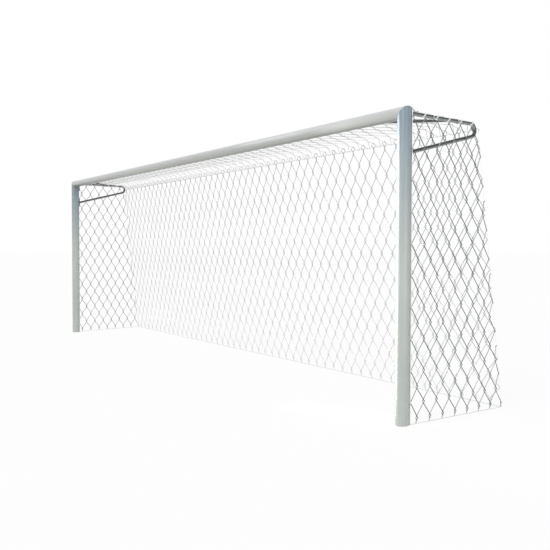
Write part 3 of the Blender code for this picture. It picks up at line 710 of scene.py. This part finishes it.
def mitre(piece, corner, normal, across):
    """Cuts a bar's end off along a plane, closes it and breaks its outer edge."""
    corner = Vector(corner)
    normal = Vector(normal).normalized()
    # A longer edge would run across the end, not along its rim
    longest = 0.012
    edit(piece)
    cut_off(corner, normal, fill=True)

    def on_rim(vert):
        return abs((vert.co - corner).dot(normal)) < TINY and on_outside(vert, corner, across)

    select_edges(piece, lambda edge: all(map(on_rim, edge.verts)) and edge.calc_length() < longest)
    break_edges(bpy.context.scene.goal_frame_sizes.mitre_chamfer, 2)
    outward()
    done()


def screw_places(side):
    """The middles of the connector screws' heads: two down the post, then two along the crossbar."""
    sizes = bpy.context.scene.goal_frame_sizes
    distances = [sizes.screw_first, sizes.screw_first + sizes.screw_pitch]
    places = [(side * POST_X, CROSSBAR_Z - distance) for distance in distances]
    return places + [(side * (POST_X - distance), CROSSBAR_Z) for distance in distances]


def bore(piece, middle, radius, depth):
    """A round hole along Y through a piece."""
    combine(piece, cylinder("bore", radius, depth, middle, sides=24), "DIFFERENCE")


def bore_screw_holes(piece, places):
    """Holes for the connector screws, through the wall at the bottom of the groove."""
    wall_y = 0.045
    for x, z in places:
        bore(piece, (x, wall_y, z), bpy.context.scene.goal_frame_sizes.screw_hole, depth=0.01)


def make_post(side, label):
    """An extruded oval bar from its foot up to the mitre, with its groove to the rear."""
    outlines = [[(side * (u + POST_X), v) for u, v in outline] for outline in profile_outlines()]
    piece = extruded(label + "_post_profile", outlines, CROSSBAR_Z + 2 * HALF_WIDTH - FOOT_Z)
    piece.location = (0, 0, FOOT_Z)
    place(piece)
    mitre(piece, (side * POST_X, 0, CROSSBAR_Z), (-side, 0, 1), 0)
    bore_screw_holes(piece, screw_places(side)[:2])
    dress(piece, post_aluminium(), "aluminium_profile", label + "_post")


def make_crossbar():
    """The same bar between its two mitres."""
    sizes = bpy.context.scene.goal_frame_sizes
    outlines = [[(-u, v) for u, v in outline] for outline in profile_outlines()]
    half_length = POST_X + 2 * HALF_WIDTH
    piece = extruded("crossbar_profile", outlines, 2 * half_length)
    piece.location = (-half_length, 0, CROSSBAR_Z)
    piece.rotation_euler = ALONG_X
    place(piece)
    for side in (-1, 1):
        mitre(piece, (side * (POST_X - sizes.mitre_gap), 0, CROSSBAR_Z), (side, 0, -1), 2)
        bore_screw_holes(piece, screw_places(side)[2:])
    dress(piece, crossbar_aluminium(), "aluminium_profile", "crossbar")


# Brackets and braces

def lower_slope():
    """The angle at which the lower arm climbs from its root to touch the bend."""
    sizes = bpy.context.scene.goal_bracket_sizes
    back = sizes.bend_y - sizes.root_y
    up = sizes.arm_z - sizes.bend_radius - sizes.lower_root_z
    return math.atan2(up, back) - math.asin(sizes.bend_radius / math.hypot(back, up))


def start_tube(name, radius, sides, start, turn):
    """In edit mode, the selected ring of points that a tube is drawn out from."""
    deselect()
    bpy.ops.mesh.primitive_circle_add(vertices=sides, radius=radius, location=start, rotation=turn)
    piece = named(name)
    place(piece)
    edit(piece)
    return piece


def end_tube(piece):
    """Cuts the tube off where its plate is, and gives it a wall."""
    sizes = bpy.context.scene.goal_bracket_sizes
    cut_off((0, sizes.root_y, 0), (0, -1, 0))
    outward()
    done()
    apply(piece, "SOLIDIFY", thickness=sizes.tube_wall, offset=-1, use_even_offset=True)


def make_bracket(side, label):
    """A tube from the top plate back, round the bend and down to the lower plate."""
    sizes = bpy.context.scene.goal_bracket_sizes
    x = side * POST_X
    slope = lower_slope()
    root = (x, sizes.root_y, sizes.arm_z)
    piece = start_tube(label + "_bracket_tube", sizes.tube_radius, 32, root, ALONG_Y)
    draw_out((0, sizes.bend_y - sizes.root_y, 0))
    bend = (x, sizes.bend_y, sizes.arm_z - sizes.bend_radius)
    bpy.ops.mesh.spin(steps=24, angle=math.pi - slope, center=bend, axis=(1, 0, 0))
    # A metre of lower arm, which is more than it needs before it is cut off
    draw_out((0, -math.cos(slope), -math.sin(slope)))
    end_tube(piece)
    dress(piece, powder_coated_steel(), "dark_steel_tube", label + "_net_bracket")


def make_brace(side, label):
    """A thinner tube from the top arm to the crossbar, coped to fit against the arm."""
    sizes = bpy.context.scene.goal_bracket_sizes
    start = Vector((side * POST_X, sizes.brace_reach, sizes.arm_z))
    forward = Vector((-side * sizes.brace_spread, sizes.root_y - sizes.brace_reach, 0))
    turn = forward.to_track_quat("Z", "Y").to_euler()
    piece = start_tube(label + "_brace_tube", sizes.brace_radius, 28, start, turn)
    # A little more than it needs before it is cut off
    draw_out(forward * 1.1)
    end_tube(piece)
    cope = cylinder("cope", sizes.tube_radius + sizes.cope_gap, 0.2, start, sides=64)
    combine(piece, cope, "DIFFERENCE")
    # The brace's underside gets a weaker painted reflection
    dress(piece, powder_coated_steel("powder_coated_brace", 0.3), "dark_steel_tube", label + "_brace")


def rippled(points):
    """The points of a bead with the ripples that a welder's hand leaves."""
    height = 0.16
    pace = 2.4
    return [(*point, 1 + height * math.sin(index * pace)) for index, point in enumerate(points)]


def weld_beads(side):
    """A closed line round each joint: the arm's two roots, the brace's root and the brace on the arm."""
    sizes = bpy.context.scene.goal_bracket_sizes
    x = side * POST_X
    # The beads sit in the corners between the tubes and their plates
    y = sizes.root_y + 0.0008
    steps = 56
    turns = [2 * math.pi * step / steps for step in range(steps)]
    ring = [(math.cos(turn), math.sin(turn)) for turn in turns]
    brace = Vector((-side * sizes.brace_spread, sizes.root_y - sizes.brace_reach, 0)).normalized()
    # Each root's x and z, and how far its tube's cut end reaches across and up from there
    roots = [
        (x, sizes.arm_z, sizes.tube_radius, sizes.tube_radius),
        (x, sizes.lower_root_z, sizes.tube_radius, sizes.tube_radius / math.cos(lower_slope())),
        (x - side * sizes.brace_spread, sizes.arm_z, sizes.brace_radius / abs(brace.y), sizes.brace_radius),
    ]
    beads = []
    for root_x, root_z, across, up in roots:
        beads.append([(root_x + across * u, y, root_z + up * v) for u, v in ring])
    start = Vector((x, sizes.brace_reach, sizes.arm_z))
    saddle = []
    for u, v in ring:
        rim = Vector((-brace.y * u, brace.x * u, v)) * sizes.brace_radius
        reach = math.sqrt(sizes.tube_radius ** 2 - rim.z ** 2)
        saddle.append(start + rim + brace * ((reach + rim.x * side) / abs(brace.x)))
    beads.append(saddle)
    return [rippled(bead) for bead in beads]


# Plates and fasteners

def make_plate(node):
    """A flat steel strip with round corners, broken edges and two bolt holes, where its node is."""
    sizes = bpy.context.scene.goal_fastener_sizes
    low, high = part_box(node)
    deselect()
    bpy.ops.mesh.primitive_cube_add(size=1, location=(low + high) / 2, scale=high - low)
    piece = named(node + "_strip")
    place(piece)
    edit(piece)
    select_edges(piece, lambda edge: along(edge, 1))
    break_edges(sizes.plate_corner, 6)
    select_edges(piece, lambda edge: not along(edge, 1))
    break_edges(sizes.plate_edge, 2)
    done()
    for index in (1, 2):
        bolt_low, bolt_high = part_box(node.replace("plate", "bolt") + f"_{index}")
        bolt = (bolt_low + bolt_high) / 2
        bore(piece, (bolt.x, (low.y + high.y) / 2, bolt.z), sizes.bolt_hole, depth=0.02)
    dress(piece, powder_coated_steel(), "dark_steel_tube", node)


def turned(name, radius, front, back, sides, chamfer=0.0):
    """A round or six-sided bar along Y, with a broken rear edge."""
    piece = cylinder(name, radius, back - front, (0, (front + back) / 2, 0), sides)
    place(piece)
    if chamfer:
        edit(piece)
        select_edges(piece, lambda edge: all(vert.co.y > back - TINY for vert in edge.verts))
        break_edges(chamfer, 2)
        done()
    return piece


def fastener(name, node, is_bolt):
    """A bolt or screw along Y at its node: hexagon head on a flange, or round head with a hexagon socket."""
    sizes = bpy.context.scene.goal_fastener_sizes
    low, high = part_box(node)
    middle = (low + high) / 2
    head = sizes.bolt_head_height if is_bolt else sizes.screw_head_height
    radius = sizes.bolt_head if is_bolt else sizes.screw_head
    shank = high.y - low.y - head
    piece = turned(name, radius, 0, head, 6 if is_bolt else 32, sizes.head_edge)
    combine(piece, turned("shank", sizes.shank, -shank, head / 2, 20), "UNION")
    if is_bolt:
        flange = turned("flange", sizes.flange_radius, 0, sizes.flange_height, 32, sizes.flange_edge)
        combine(piece, flange, "UNION")
    else:
        socket = turned("socket", sizes.socket_radius, head - sizes.socket_depth, head + 0.001, 6)
        combine(piece, socket, "DIFFERENCE")
    piece.location = (middle.x, high.y - head, middle.z)
    return piece


def copy_fastener(first, first_node, name, node):
    """A copy of a fastener, with a mesh of its own, at another node."""
    piece = first.copy()
    piece.data = first.data.copy()
    piece.name = name
    piece.data.name = name
    bpy.context.scene.collection.objects.link(piece)
    # It is on no body yet, and stands for no node
    piece.parent = None
    piece["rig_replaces"] = []
    piece.location = (sum(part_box(node), Vector()) - sum(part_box(first_node), Vector())) / 2
    return piece


def make_fasteners(nodes, suffix, is_bolt):
    """A fastener at the first node, and a copy of it at each of the others."""
    first = fastener(nodes[0] + suffix, nodes[0], is_bolt)
    dress(first, zinc_plated_steel(), "zinc_plated_steel", nodes[0])
    for node in nodes[1:]:
        piece = copy_fastener(first, nodes[0], node + suffix, node)
        dress(piece, zinc_plated_steel(), "zinc_plated_steel", node)


# Net rods and edge wires

def make_bar(name, node, axis, radius, material):
    """A straight round bar with rounded ends, where its node is."""
    low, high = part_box(node)
    turn = {0: ALONG_X, 2: (0, 0, 0)}[axis]
    piece = cylinder(name, radius, high[axis] - low[axis], (low + high) / 2, 20, turn)
    place(piece)
    edit(piece)
    select_edges(piece, lambda edge: not along(edge, axis))
    break_edges(radius / 2, 3)
    done()
    dress(piece, material, "galvanised_steel", node)


def ground_wire_line():
    """The wire round the net's foot, from one net rod back, across and forward to the other."""
    net = bpy.context.scene.goal_net_sizes
    # It lies just off the ground, and its ends reach a little past the rods
    z = net.ground_wire + 0.0005
    front = Vector((ROD_X, 0.0515, z))
    corner = Vector((CORNER_X, CORNER_Y, z))
    before = corner + (front - corner).normalized() * net.ground_bend
    after = corner - Vector((net.ground_bend, 0, 0))
    right = [front]
    steps = 8
    for step in range(steps + 1):
        share = step / steps
        right.append(before.lerp(corner, share).lerp(corner.lerp(after, share), share))
    return right + [Vector((-p.x, p.y, p.z)) for p in reversed(right)]


# Woven nets

# The back and roof nets' wires are numbered from the middle, up to these at the edges
FIRST_WIRE = -49
LAST_WIRE = 48


def lerp(first, second, share):
    """The value at a share of the way between two others."""
    return first + (second - first) * share


def woven_turn(s, t, way):
    """A hooked turn, out to one side of the wire: it passes from one face of the net to the other."""
    sizes = bpy.context.scene.goal_net_sizes
    reach = s + way * sizes.hook
    ease = way * 0.0018
    shape = ((-1.0, ease, 1.0), (-0.42, 0.0, 0.5), (0.42, 0.0, -0.5), (1.0, ease, -1.0))
    return [
        (reach - inner, t + sizes.turn * up, -way * sizes.offset * face) for up, inner, face in shape
    ]


def bar_turn(s, t, way, bar):
    """A turn round a straight bar of a given radius."""
    sizes = bpy.context.scene.goal_net_sizes
    reach = bar + sizes.wire
    shape = ((-1.0, -0.9, 0.7), (-0.45, 0.1, 1.0), (0.0, 0.9, 0.0), (0.45, 0.1, -1.0), (1.0, -0.9, -0.7))
    return [(s + way * reach * out, t + sizes.turn * up, -way * reach * face) for up, out, face in shape]


def around(middle, axis, start, radius, first, last, advance, steps):
    """Points round a bar: from one angle to another from a start direction, moving along the bar."""
    axis = Vector(axis)
    points = []
    for step in range(steps + 1):
        share = step / steps
        turn = Matrix.Rotation(math.radians(lerp(first, last, share)), 3, axis)
        points.append(Vector(middle) + axis * (advance * share) + (turn @ Vector(start)) * radius)
    return points


def side_corner(z):
    """Where the rear corner line of the goal is at a height: its distance behind the goal line and its x."""
    climb = (z - NET_FOOT_Z) / (SEAM_Z - NET_FOOT_Z)
    return lerp(CORNER_Y, SEAM_Y, climb), lerp(CORNER_X, SEAM_X, climb)


def side_lay(side):
    """How a side net's flat points lie in space: across is y, along is z, out is away from the goal."""
    def lay(s, t, out):
        rear_y, rear_x = side_corner(t)
        return Vector((side * (lerp(ROD_X, rear_x, (s - ROD_Y) / (rear_y - ROD_Y)) + out), s, t))
    return lay


def foot(lay, s, way, tied):
    """A wire's end below its lowest turn. One of each pair goes on and ties down to the ground wire."""
    lean = way * 0.001
    end_z = 0.03
    tie_z = 0.003
    end = lay(s + lean, end_z, -way * 0.0055)
    tie = lay(s - lean, tie_z, -way * 0.0061)
    return [tie, end] if tied else [end]


def make_side_net(side, label):
    """Upright zigzag wires, hooked into each other from the net rod to the corner wire."""
    net = bpy.context.scene.goal_net_sizes
    tubes = bpy.context.scene.goal_bracket_sizes
    lay = side_lay(side)
    rows = 20
    # The last wire that goes over the bracket's arm: those behind it end below the rear top wire
    last_over = 10
    # A turn nearer than this to the corner wire goes round it
    near = 0.012
    foot_corner = side_corner(0.02)[0]
    wires = []
    for wire in range(15):
        left = ROD_Y + wire * net.side_half_column
        right = left + net.side_half_column
        even = wire % 2 == 0
        line = foot(lay, min(right, foot_corner) if even else left, 1 if even else -1, tied=even)
        for row in range(rows):
            t = net.first_row + row * net.side_row
            corner = side_corner(t)[0]
            turns_left = (row + wire) % 2 == 1
            if turns_left and left > corner - near or t > SEAM_Z and wire > last_over:
                break
            if turns_left and wire == 0:
                flat = bar_turn(left, t, -1, net.rod)
            elif turns_left:
                flat = woven_turn(left, t, -1)
            elif right > corner - near:
                flat = bar_turn(corner, t, 1, net.corner_wire)
            else:
                flat = woven_turn(right, t, 1)
            line += [lay(*point) for point in flat]
        # Both wires of a pair go over the arm, side by side
        if 0 < wire <= last_over:
            over_y = left + 0.006 if even else right - 0.003
            line += around(
                (side * POST_X, over_y, tubes.arm_z),
                axis=(0, 1, 0), start=(side, 0, 0), radius=tubes.tube_radius + net.side_wire + 0.0004,
                first=side * 60, last=-side * 215, advance=net.arm_lean, steps=12,
            )
        wires.append(line)
    corner_line = [Vector((side * side_corner(z)[1], side_corner(z)[0], z)) for z in (0.006, SEAM_Z)]
    corner_wire = curve_piece(label + "_corner_wire", [corner_line], net.corner_wire)
    dress(corner_wire, bright_wire(), "galvanised_steel")
    piece = curve_piece(label + "_side_weave", wires, net.side_wire)
    # Painted light: strands facing the front-top lamp are paler, and their turns over the top of the arm are
    # painted pale as a highlight
    pale = bpy.context.scene.goal_finishes.lit_net_wire
    sunlight = (0, -0.51, 0.86)
    steel = galvanised_wire(
        "galvanised_wire_sides", pale, sunlight, most=0.48, axis=2, dull_at=2.46, pale_at=2.475
    )
    dress(piece, steel, "galvanised_net_wire", label + "_side_net", smooth=60)


def make_back_net():
    """Upright zigzag wires, which end two by two in an eyelet over the rear top wire."""
    net = bpy.context.scene.goal_net_sizes
    rows = 18
    pitch = (net.back_top_row - net.first_row) / (rows - 1)
    lean = Vector((SEAM_Y - CORNER_Y, SEAM_Z - NET_FOOT_Z)).normalized()
    rearward = Vector((0, lean.y, -lean.x))
    twist_radius = 0.0027
    twist_steps = 6

    def lay(s, z, out):
        return Vector((s, side_corner(z)[0], z)) + rearward * out

    wires = []
    for wire in range(FIRST_WIRE, LAST_WIRE + 1):
        left = wire * net.half_column
        right = left + net.half_column
        even = wire % 2 == 0
        column = left if even else right
        line = foot(lay, column, -1 if even else 1, tied=even)
        for row in range(rows):
            t = net.first_row + row * pitch
            edge = side_corner(t)[1]
            turns_left = (row + wire) % 2 == 0
            if turns_left and wire == FIRST_WIRE:
                flat = bar_turn(-edge, t, -1, net.corner_wire)
            elif turns_left:
                flat = woven_turn(left, t, -1)
            elif wire == LAST_WIRE:
                flat = bar_turn(edge, t, 1, net.corner_wire)
            else:
                flat = woven_turn(right, t, 1)
            line += [lay(*point) for point in flat]
        # The two wires at an eyelet twist round each other, and one of them makes the ring
        for step in range(twist_steps + 1):
            share = step / twist_steps
            turn = math.pi * (1.6 * share + (0 if even else 1))
            across = twist_radius * math.cos(turn)
            out = twist_radius * math.sin(turn)
            line.append(lay(column + across, net.eyelet_z + net.eyelet_neck * share, out))
        if even:
            # It passes just under the rear top wire
            ring_z = SEAM_Z + net.eyelet_radius - 0.0063
            line += around(
                (column - 0.002, SEAM_Y - 0.004, ring_z),
                axis=(1, 0, 0), start=(0, 0.12, -0.993), radius=net.eyelet_radius, first=8, last=352,
                advance=0.005, steps=16,
            )
        wires.append(line)
    piece = curve_piece("back_weave", wires, net.wire)
    # Painted light: strands facing the lamp are paler; the net also grows paler towards the ground
    pale = bpy.context.scene.goal_finishes.lit_net_wire
    sunlight = (0.51, 0, 0.86)
    steel = galvanised_wire(
        "galvanised_wire_back", pale, sunlight, most=0.75, axis=2, dull_at=2.4, pale_at=0.0, least=0.45
    )
    dress(piece, steel, "galvanised_net_wire", "back_net", smooth=60)


def make_roof_net():
    """Zigzag wires from the crossbar's net rod back to the rear top wire."""
    net = bpy.context.scene.goal_net_sizes
    tubes = bpy.context.scene.goal_bracket_sizes
    # The wires lie on the brackets' tubes
    top_z = tubes.arm_z + tubes.tube_radius + 0.0028
    rows = 5

    def lay(s, y, out):
        """The roof climbs from the crossbar's net rod to just above the brackets' bends."""
        climb = (y - ROD_Y) / (tubes.bend_y - ROD_Y)
        return Vector((s, y, lerp(ROOF_ROD_Z, top_z, climb) + out))

    wires = []
    for wire in range(FIRST_WIRE, LAST_WIRE + 1):
        left = wire * net.half_column
        right = left + net.half_column
        start_x = lerp(left, right, 0.78 if wire % 2 == 0 else 0.22)
        line = around(
            (start_x, ROD_Y, ROOF_ROD_Z),
            axis=(1, 0, 0), start=(0, 0, 1), radius=0.0064, first=265, last=20, advance=0, steps=8,
        )
        for row in range(rows):
            y = net.roof_first_row + row * net.roof_row
            way = -1 if (row + wire) % 2 == 0 else 1
            if wire != (FIRST_WIRE if way < 0 else LAST_WIRE):
                line += [lay(*point) for point in woven_turn(left if way < 0 else right, y, way)]
                continue
            # The outermost wires turn round the brackets' arms
            line += around(
                (way * POST_X, y, tubes.arm_z),
                axis=(0, 1, 0), start=(0, 0, 1), radius=tubes.tube_radius + net.wire + 0.0002,
                first=-way * 10, last=way * 235, advance=0.012, steps=10,
            )
        end_x = lerp(left, right, 0.2 if (rows + wire) % 2 == 0 else 0.8)
        line += around(
            (end_x, SEAM_Y, SEAM_Z),
            axis=(1, 0, 0), start=(0, 0.9, 0.44), radius=0.0055, first=0, last=-290, advance=0.004,
            steps=8,
        )
        wires.append(line)
    piece = curve_piece("roof_weave", wires, net.wire)
    # Painted light and shadow: strands facing the lamp are paler, and the net is darker near the crossbar as
    # a painted shadow, growing paler to the rear
    pale = bpy.context.scene.goal_finishes.lit_roof_wire
    sunlight = (0.44, -0.9, 0)
    steel = galvanised_wire("galvanised_wire_roof", pale, sunlight, most=0.9, axis=1, dull_at=0.25, pale_at=0.9)
    dress(piece, steel, "galvanised_net_wire", "roof_net", smooth=60)


# Operators

class GOAL_OT_posts(bpy.types.Operator):
    """Draws out the two oval posts, with the groove along their rear and mitred tops"""
    bl_idname = "goal.posts"
    bl_label = "Posts"

    def execute(self, context):
        for side, label in SIDES:
            make_post(side, label)
        return {"FINISHED"}


class GOAL_OT_crossbar(bpy.types.Operator):
    """Draws out the oval crossbar between its two mitres"""
    bl_idname = "goal.crossbar"
    bl_label = "Crossbar"

    def execute(self, context):
        make_crossbar()
        return {"FINISHED"}


class GOAL_OT_brackets(bpy.types.Operator):
    """Bends the two net brackets out of round tube"""
    bl_idname = "goal.brackets"
    bl_label = "Net brackets"

    def execute(self, context):
        for side, label in SIDES:
            make_bracket(side, label)
        return {"FINISHED"}


class GOAL_OT_braces(bpy.types.Operator):
    """Fits a diagonal brace between each bracket and the crossbar"""
    bl_idname = "goal.braces"
    bl_label = "Braces"

    def execute(self, context):
        for side, label in SIDES:
            make_brace(side, label)
        return {"FINISHED"}


class GOAL_OT_welds(bpy.types.Operator):
    """Runs the weld beads round the tubes' joints"""
    bl_idname = "goal.welds"
    bl_label = "Weld beads"

    def execute(self, context):
        bead = context.scene.goal_bracket_sizes.bead
        for side, label in SIDES:
            piece = curve_piece(label + "_weld_beads", weld_beads(side), bead, sides=10, cyclic=True)
            dress(piece, powder_coated_steel(), "dark_steel_tube", smooth=60)
        return {"FINISHED"}


class GOAL_OT_plates(bpy.types.Operator):
    """Shapes the mounting plates behind the posts and the crossbar"""
    bl_idname = "goal.plates"
    bl_label = "Mounting plates"

    def execute(self, context):
        for label in LABELS:
            for kind in PLATES:
                make_plate(f"{label}_{kind}_plate")
        return {"FINISHED"}


class GOAL_OT_fasteners(bpy.types.Operator):
    """Turns the hexagon bolts and the connector screws"""
    bl_idname = "goal.fasteners"
    bl_label = "Bolts and screws"

    def execute(self, context):
        bolts = [f"{label}_{kind}_bolt_{index}" for label in LABELS for kind in PLATES for index in (1, 2)]
        screws = [f"{label}_connector_screw_{index}" for label in LABELS for index in range(1, 5)]
        make_fasteners(bolts, "_hexagon", is_bolt=True)
        make_fasteners(screws, "_socket_head", is_bolt=False)
        return {"FINISHED"}


class GOAL_OT_fittings(bpy.types.Operator):
    """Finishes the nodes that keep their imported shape: connectors, slot nuts, foot plugs and sockets"""
    bl_idname = "goal.fittings"
    bl_label = "Inner fittings"

    def execute(self, context):
        for label in LABELS:
            dress_node(label + "_corner_connector", cast_aluminium())
            dress_node(label + "_foot_plug", moulded_plastic())
            dress_node(label + "_ground_socket", galvanised_steel())
            for kind in PLATES:
                dress_node(f"{label}_{kind}_slot_nut", zinc_plated_steel())
        return {"FINISHED"}


class GOAL_OT_edge_wires(bpy.types.Operator):
    """Makes the rods and wires that hold the net's edges"""
    bl_idname = "goal.edge_wires"
    bl_label = "Rods and edge wires"

    def execute(self, context):
        net = context.scene.goal_net_sizes
        for label in LABELS:
            make_bar(label + "_net_bar", label + "_net_rod", 2, net.rod, bright_wire())
        make_bar("crossbar_net_bar", "crossbar_net_rod", 0, net.rod, galvanised_steel())
        make_bar("rear_seam_wire", "rear_top_wire", 0, net.rear_wire, bright_wire())
        piece = curve_piece("ground_seam_wire", [ground_wire_line()], net.ground_wire, sides=12)
        dress(piece, bright_wire(), "galvanised_steel", "ground_wire", smooth=60)
        return {"FINISHED"}


class GOAL_OT_side_nets(bpy.types.Operator):
    """Weaves the two side nets"""
    bl_idname = "goal.side_nets"
    bl_label = "Side nets"

    def execute(self, context):
        for side, label in SIDES:
            make_side_net(side, label)
        return {"FINISHED"}


class GOAL_OT_back_net(bpy.types.Operator):
    """Weaves the back net, with an eyelet over the rear top wire at every diamond"""
    bl_idname = "goal.back_net"
    bl_label = "Back net"

    def execute(self, context):
        make_back_net()
        return {"FINISHED"}


class GOAL_OT_roof_net(bpy.types.Operator):
    """Weaves the roof net, from the crossbar back over the brackets"""
    bl_idname = "goal.roof_net"
    bl_label = "Roof net"

    def execute(self, context):
        make_roof_net()
        return {"FINISHED"}


class GOAL_OT_stage(bpy.types.Operator):
    """Lays the floor and sets the lights, the world and the camera"""
    bl_idname = "goal.stage"
    bl_label = "Stage"

    def execute(self, context):
        scene = context.scene
        studio = scene.goal_studio
        deselect()
        bpy.ops.mesh.primitive_plane_add(size=400, location=(0, 0, 0))
        floor = named("floor")
        floor.data.materials.append(floor_paint())
        scene.world = bpy.data.worlds.new("studio")
        light_world(scene.world, studio.fill)
        add_sun("top_light", studio.top, spread=30, towards=(0.1, -0.6, 0.78))
        add_sun("right_light", studio.right, spread=60, towards=(0.97, 0.12, 0.15))
        # A tall strip in the goal mouth rims the near post, and a small one further off rims its top
        add_strip(
            "strip_light", studio.strip, (2.55, -0.31, 1.21), aim=(3.511, -0.033, 1.21),
            width=0.35, height=2.4, spread=60,
        )
        add_strip(
            "top_strip_light", studio.top_strip, (0.825, -0.775, 2.86), aim=(3.7, 0, 2.3),
            width=0.85, height=0.68, spread=30,
        )
        scene.camera = add_camera(studio.lens)
        scene.view_settings.view_transform = "Standard"
        return {"FINISHED"}


def seen_rays(add):
    """1 for what the camera, a reflection or glass sees, and 0 for what lights a surface."""
    path = add("ShaderNodeLightPath", {})
    either = add(
        "ShaderNodeMath",
        {0: path.outputs["Is Camera Ray"], 1: path.outputs["Is Glossy Ray"]},
        operation="ADD",
    )
    every = add(
        "ShaderNodeMath",
        {0: either.outputs["Value"], 1: path.outputs["Is Transmission Ray"]},
        operation="ADD",
        use_clamp=True,
    )
    return every.outputs["Value"]


def light_world(world, fill):
    """Even white light all round, at its full strength only where it is seen."""
    add = adder(world)
    strength = add("ShaderNodeMapRange", {"Value": seen_rays(add), "To Min": fill, "To Max": 1.0})
    light = add("ShaderNodeBackground", {"Color": (1, 1, 1, 1), "Strength": strength.outputs["Result"]})
    add("ShaderNodeOutputWorld", {"Surface": light.outputs["Background"]})


def floor_paint():
    """A plain white painted studio floor, which shows as white and keeps a soft shadow."""
    material = bpy.data.materials.new("white_floor_paint")
    looks = bpy.context.scene.goal_finishes
    add = adder(material)
    paint = add("ShaderNodeBsdfDiffuse", {"Color": rgba(looks.ground)})
    white = add("ShaderNodeEmission", {"Color": (1, 1, 1, 1), "Strength": 1.0})
    # The share of plain white where the floor is seen
    plain = 0.9
    share = add("ShaderNodeMapRange", {"Value": seen_rays(add), "To Min": 0.0, "To Max": plain})
    both = add(
        "ShaderNodeMixShader",
        {0: share.outputs["Result"], 1: paint.outputs["BSDF"], 2: white.outputs["Emission"]},
    )
    add("ShaderNodeOutputMaterial", {"Surface": both.outputs["Shader"]})
    return material


def add_sun(name, strength, spread, towards):
    """A soft even light from one direction, like a very large lamp far away."""
    bpy.ops.object.light_add(type="SUN", location=Vector(towards) * 10)
    light = named(name)
    light.data.energy = strength
    light.data.angle = math.radians(spread)
    light.rotation_euler = Vector(towards).to_track_quat("Z", "Y").to_euler()


def add_strip(name, power, place, aim, width, height, spread):
    """A lit panel turned to a point, which the camera doesn't see."""
    bpy.ops.object.light_add(type="AREA", location=place)
    panel = named(name)
    panel.data.shape = "RECTANGLE"
    panel.data.size = width
    panel.data.size_y = height
    panel.data.spread = math.radians(spread)
    panel.data.energy = power
    panel.rotation_euler = (Vector(place) - Vector(aim)).to_track_quat("Z", "Y").to_euler()
    panel.visible_camera = False


def add_camera(lens):
    """The camera, where the goal's known sizes put it, turned by angles in radians."""
    dip = 0.0292
    yaw = 0.9421
    roll = 0.0021
    bpy.ops.object.camera_add(location=(7.4556, -4.0062, 1.413))
    camera = named("camera")
    camera.data.lens = lens
    camera.data.sensor_width = 36
    camera.data.shift_x = 0.0034
    camera.data.shift_y = -0.0119
    turn = Euler((math.pi / 2 - dip, 0, yaw)).to_matrix() @ Matrix.Rotation(roll, 3, "Z")
    camera.rotation_euler = turn.to_euler()
    return camera


class VIEW3D_PT_goal(bpy.types.Panel):
    """The goal's sizes, finishes and pieces"""
    bl_label = "Soccer Goal"
    bl_space_type = "VIEW_3D"
    bl_region_type = "UI"
    bl_category = "Goal"

    def draw(self, context):
        layout = self.layout
        for pointer in POINTERS:
            box = layout.box()
            box.label(text=pointer.replace("_", " "))
            group = getattr(context.scene, pointer)
            for name in group.__annotations__:
                box.prop(group, name)
        for operator in OPERATORS:
            layout.operator(operator.bl_idname)


POINTERS = {
    "goal_frame_sizes": GoalFrameSizes,
    "goal_bracket_sizes": GoalBracketSizes,
    "goal_fastener_sizes": GoalFastenerSizes,
    "goal_net_sizes": GoalNetSizes,
    "goal_finishes": GoalFinishes,
    "goal_studio": GoalStudio,
}
OPERATORS = (
    GOAL_OT_posts,
    GOAL_OT_crossbar,
    GOAL_OT_brackets,
    GOAL_OT_braces,
    GOAL_OT_welds,
    GOAL_OT_plates,
    GOAL_OT_fasteners,
    GOAL_OT_fittings,
    GOAL_OT_edge_wires,
    GOAL_OT_side_nets,
    GOAL_OT_back_net,
    GOAL_OT_roof_net,
    GOAL_OT_stage,
)
CLASSES = (*POINTERS.values(), *OPERATORS, VIEW3D_PT_goal)


def register():
    for cls in CLASSES:
        bpy.utils.register_class(cls)
    for name, group in POINTERS.items():
        setattr(bpy.types.Scene, name, PointerProperty(type=group))


def unregister():
    for name in POINTERS:
        delattr(bpy.types.Scene, name)
    for cls in reversed(CLASSES):
        bpy.utils.unregister_class(cls)


def main():
    register()
    bpy.ops.goal.posts()
    bpy.ops.goal.crossbar()
    bpy.ops.goal.brackets()
    bpy.ops.goal.braces()
    bpy.ops.goal.welds()
    bpy.ops.goal.plates()
    bpy.ops.goal.fasteners()
    bpy.ops.goal.fittings()
    bpy.ops.goal.edge_wires()
    bpy.ops.goal.side_nets()
    bpy.ops.goal.back_net()
    bpy.ops.goal.roof_net()
    bpy.ops.goal.stage()


if __name__ == "__main__":
    main()
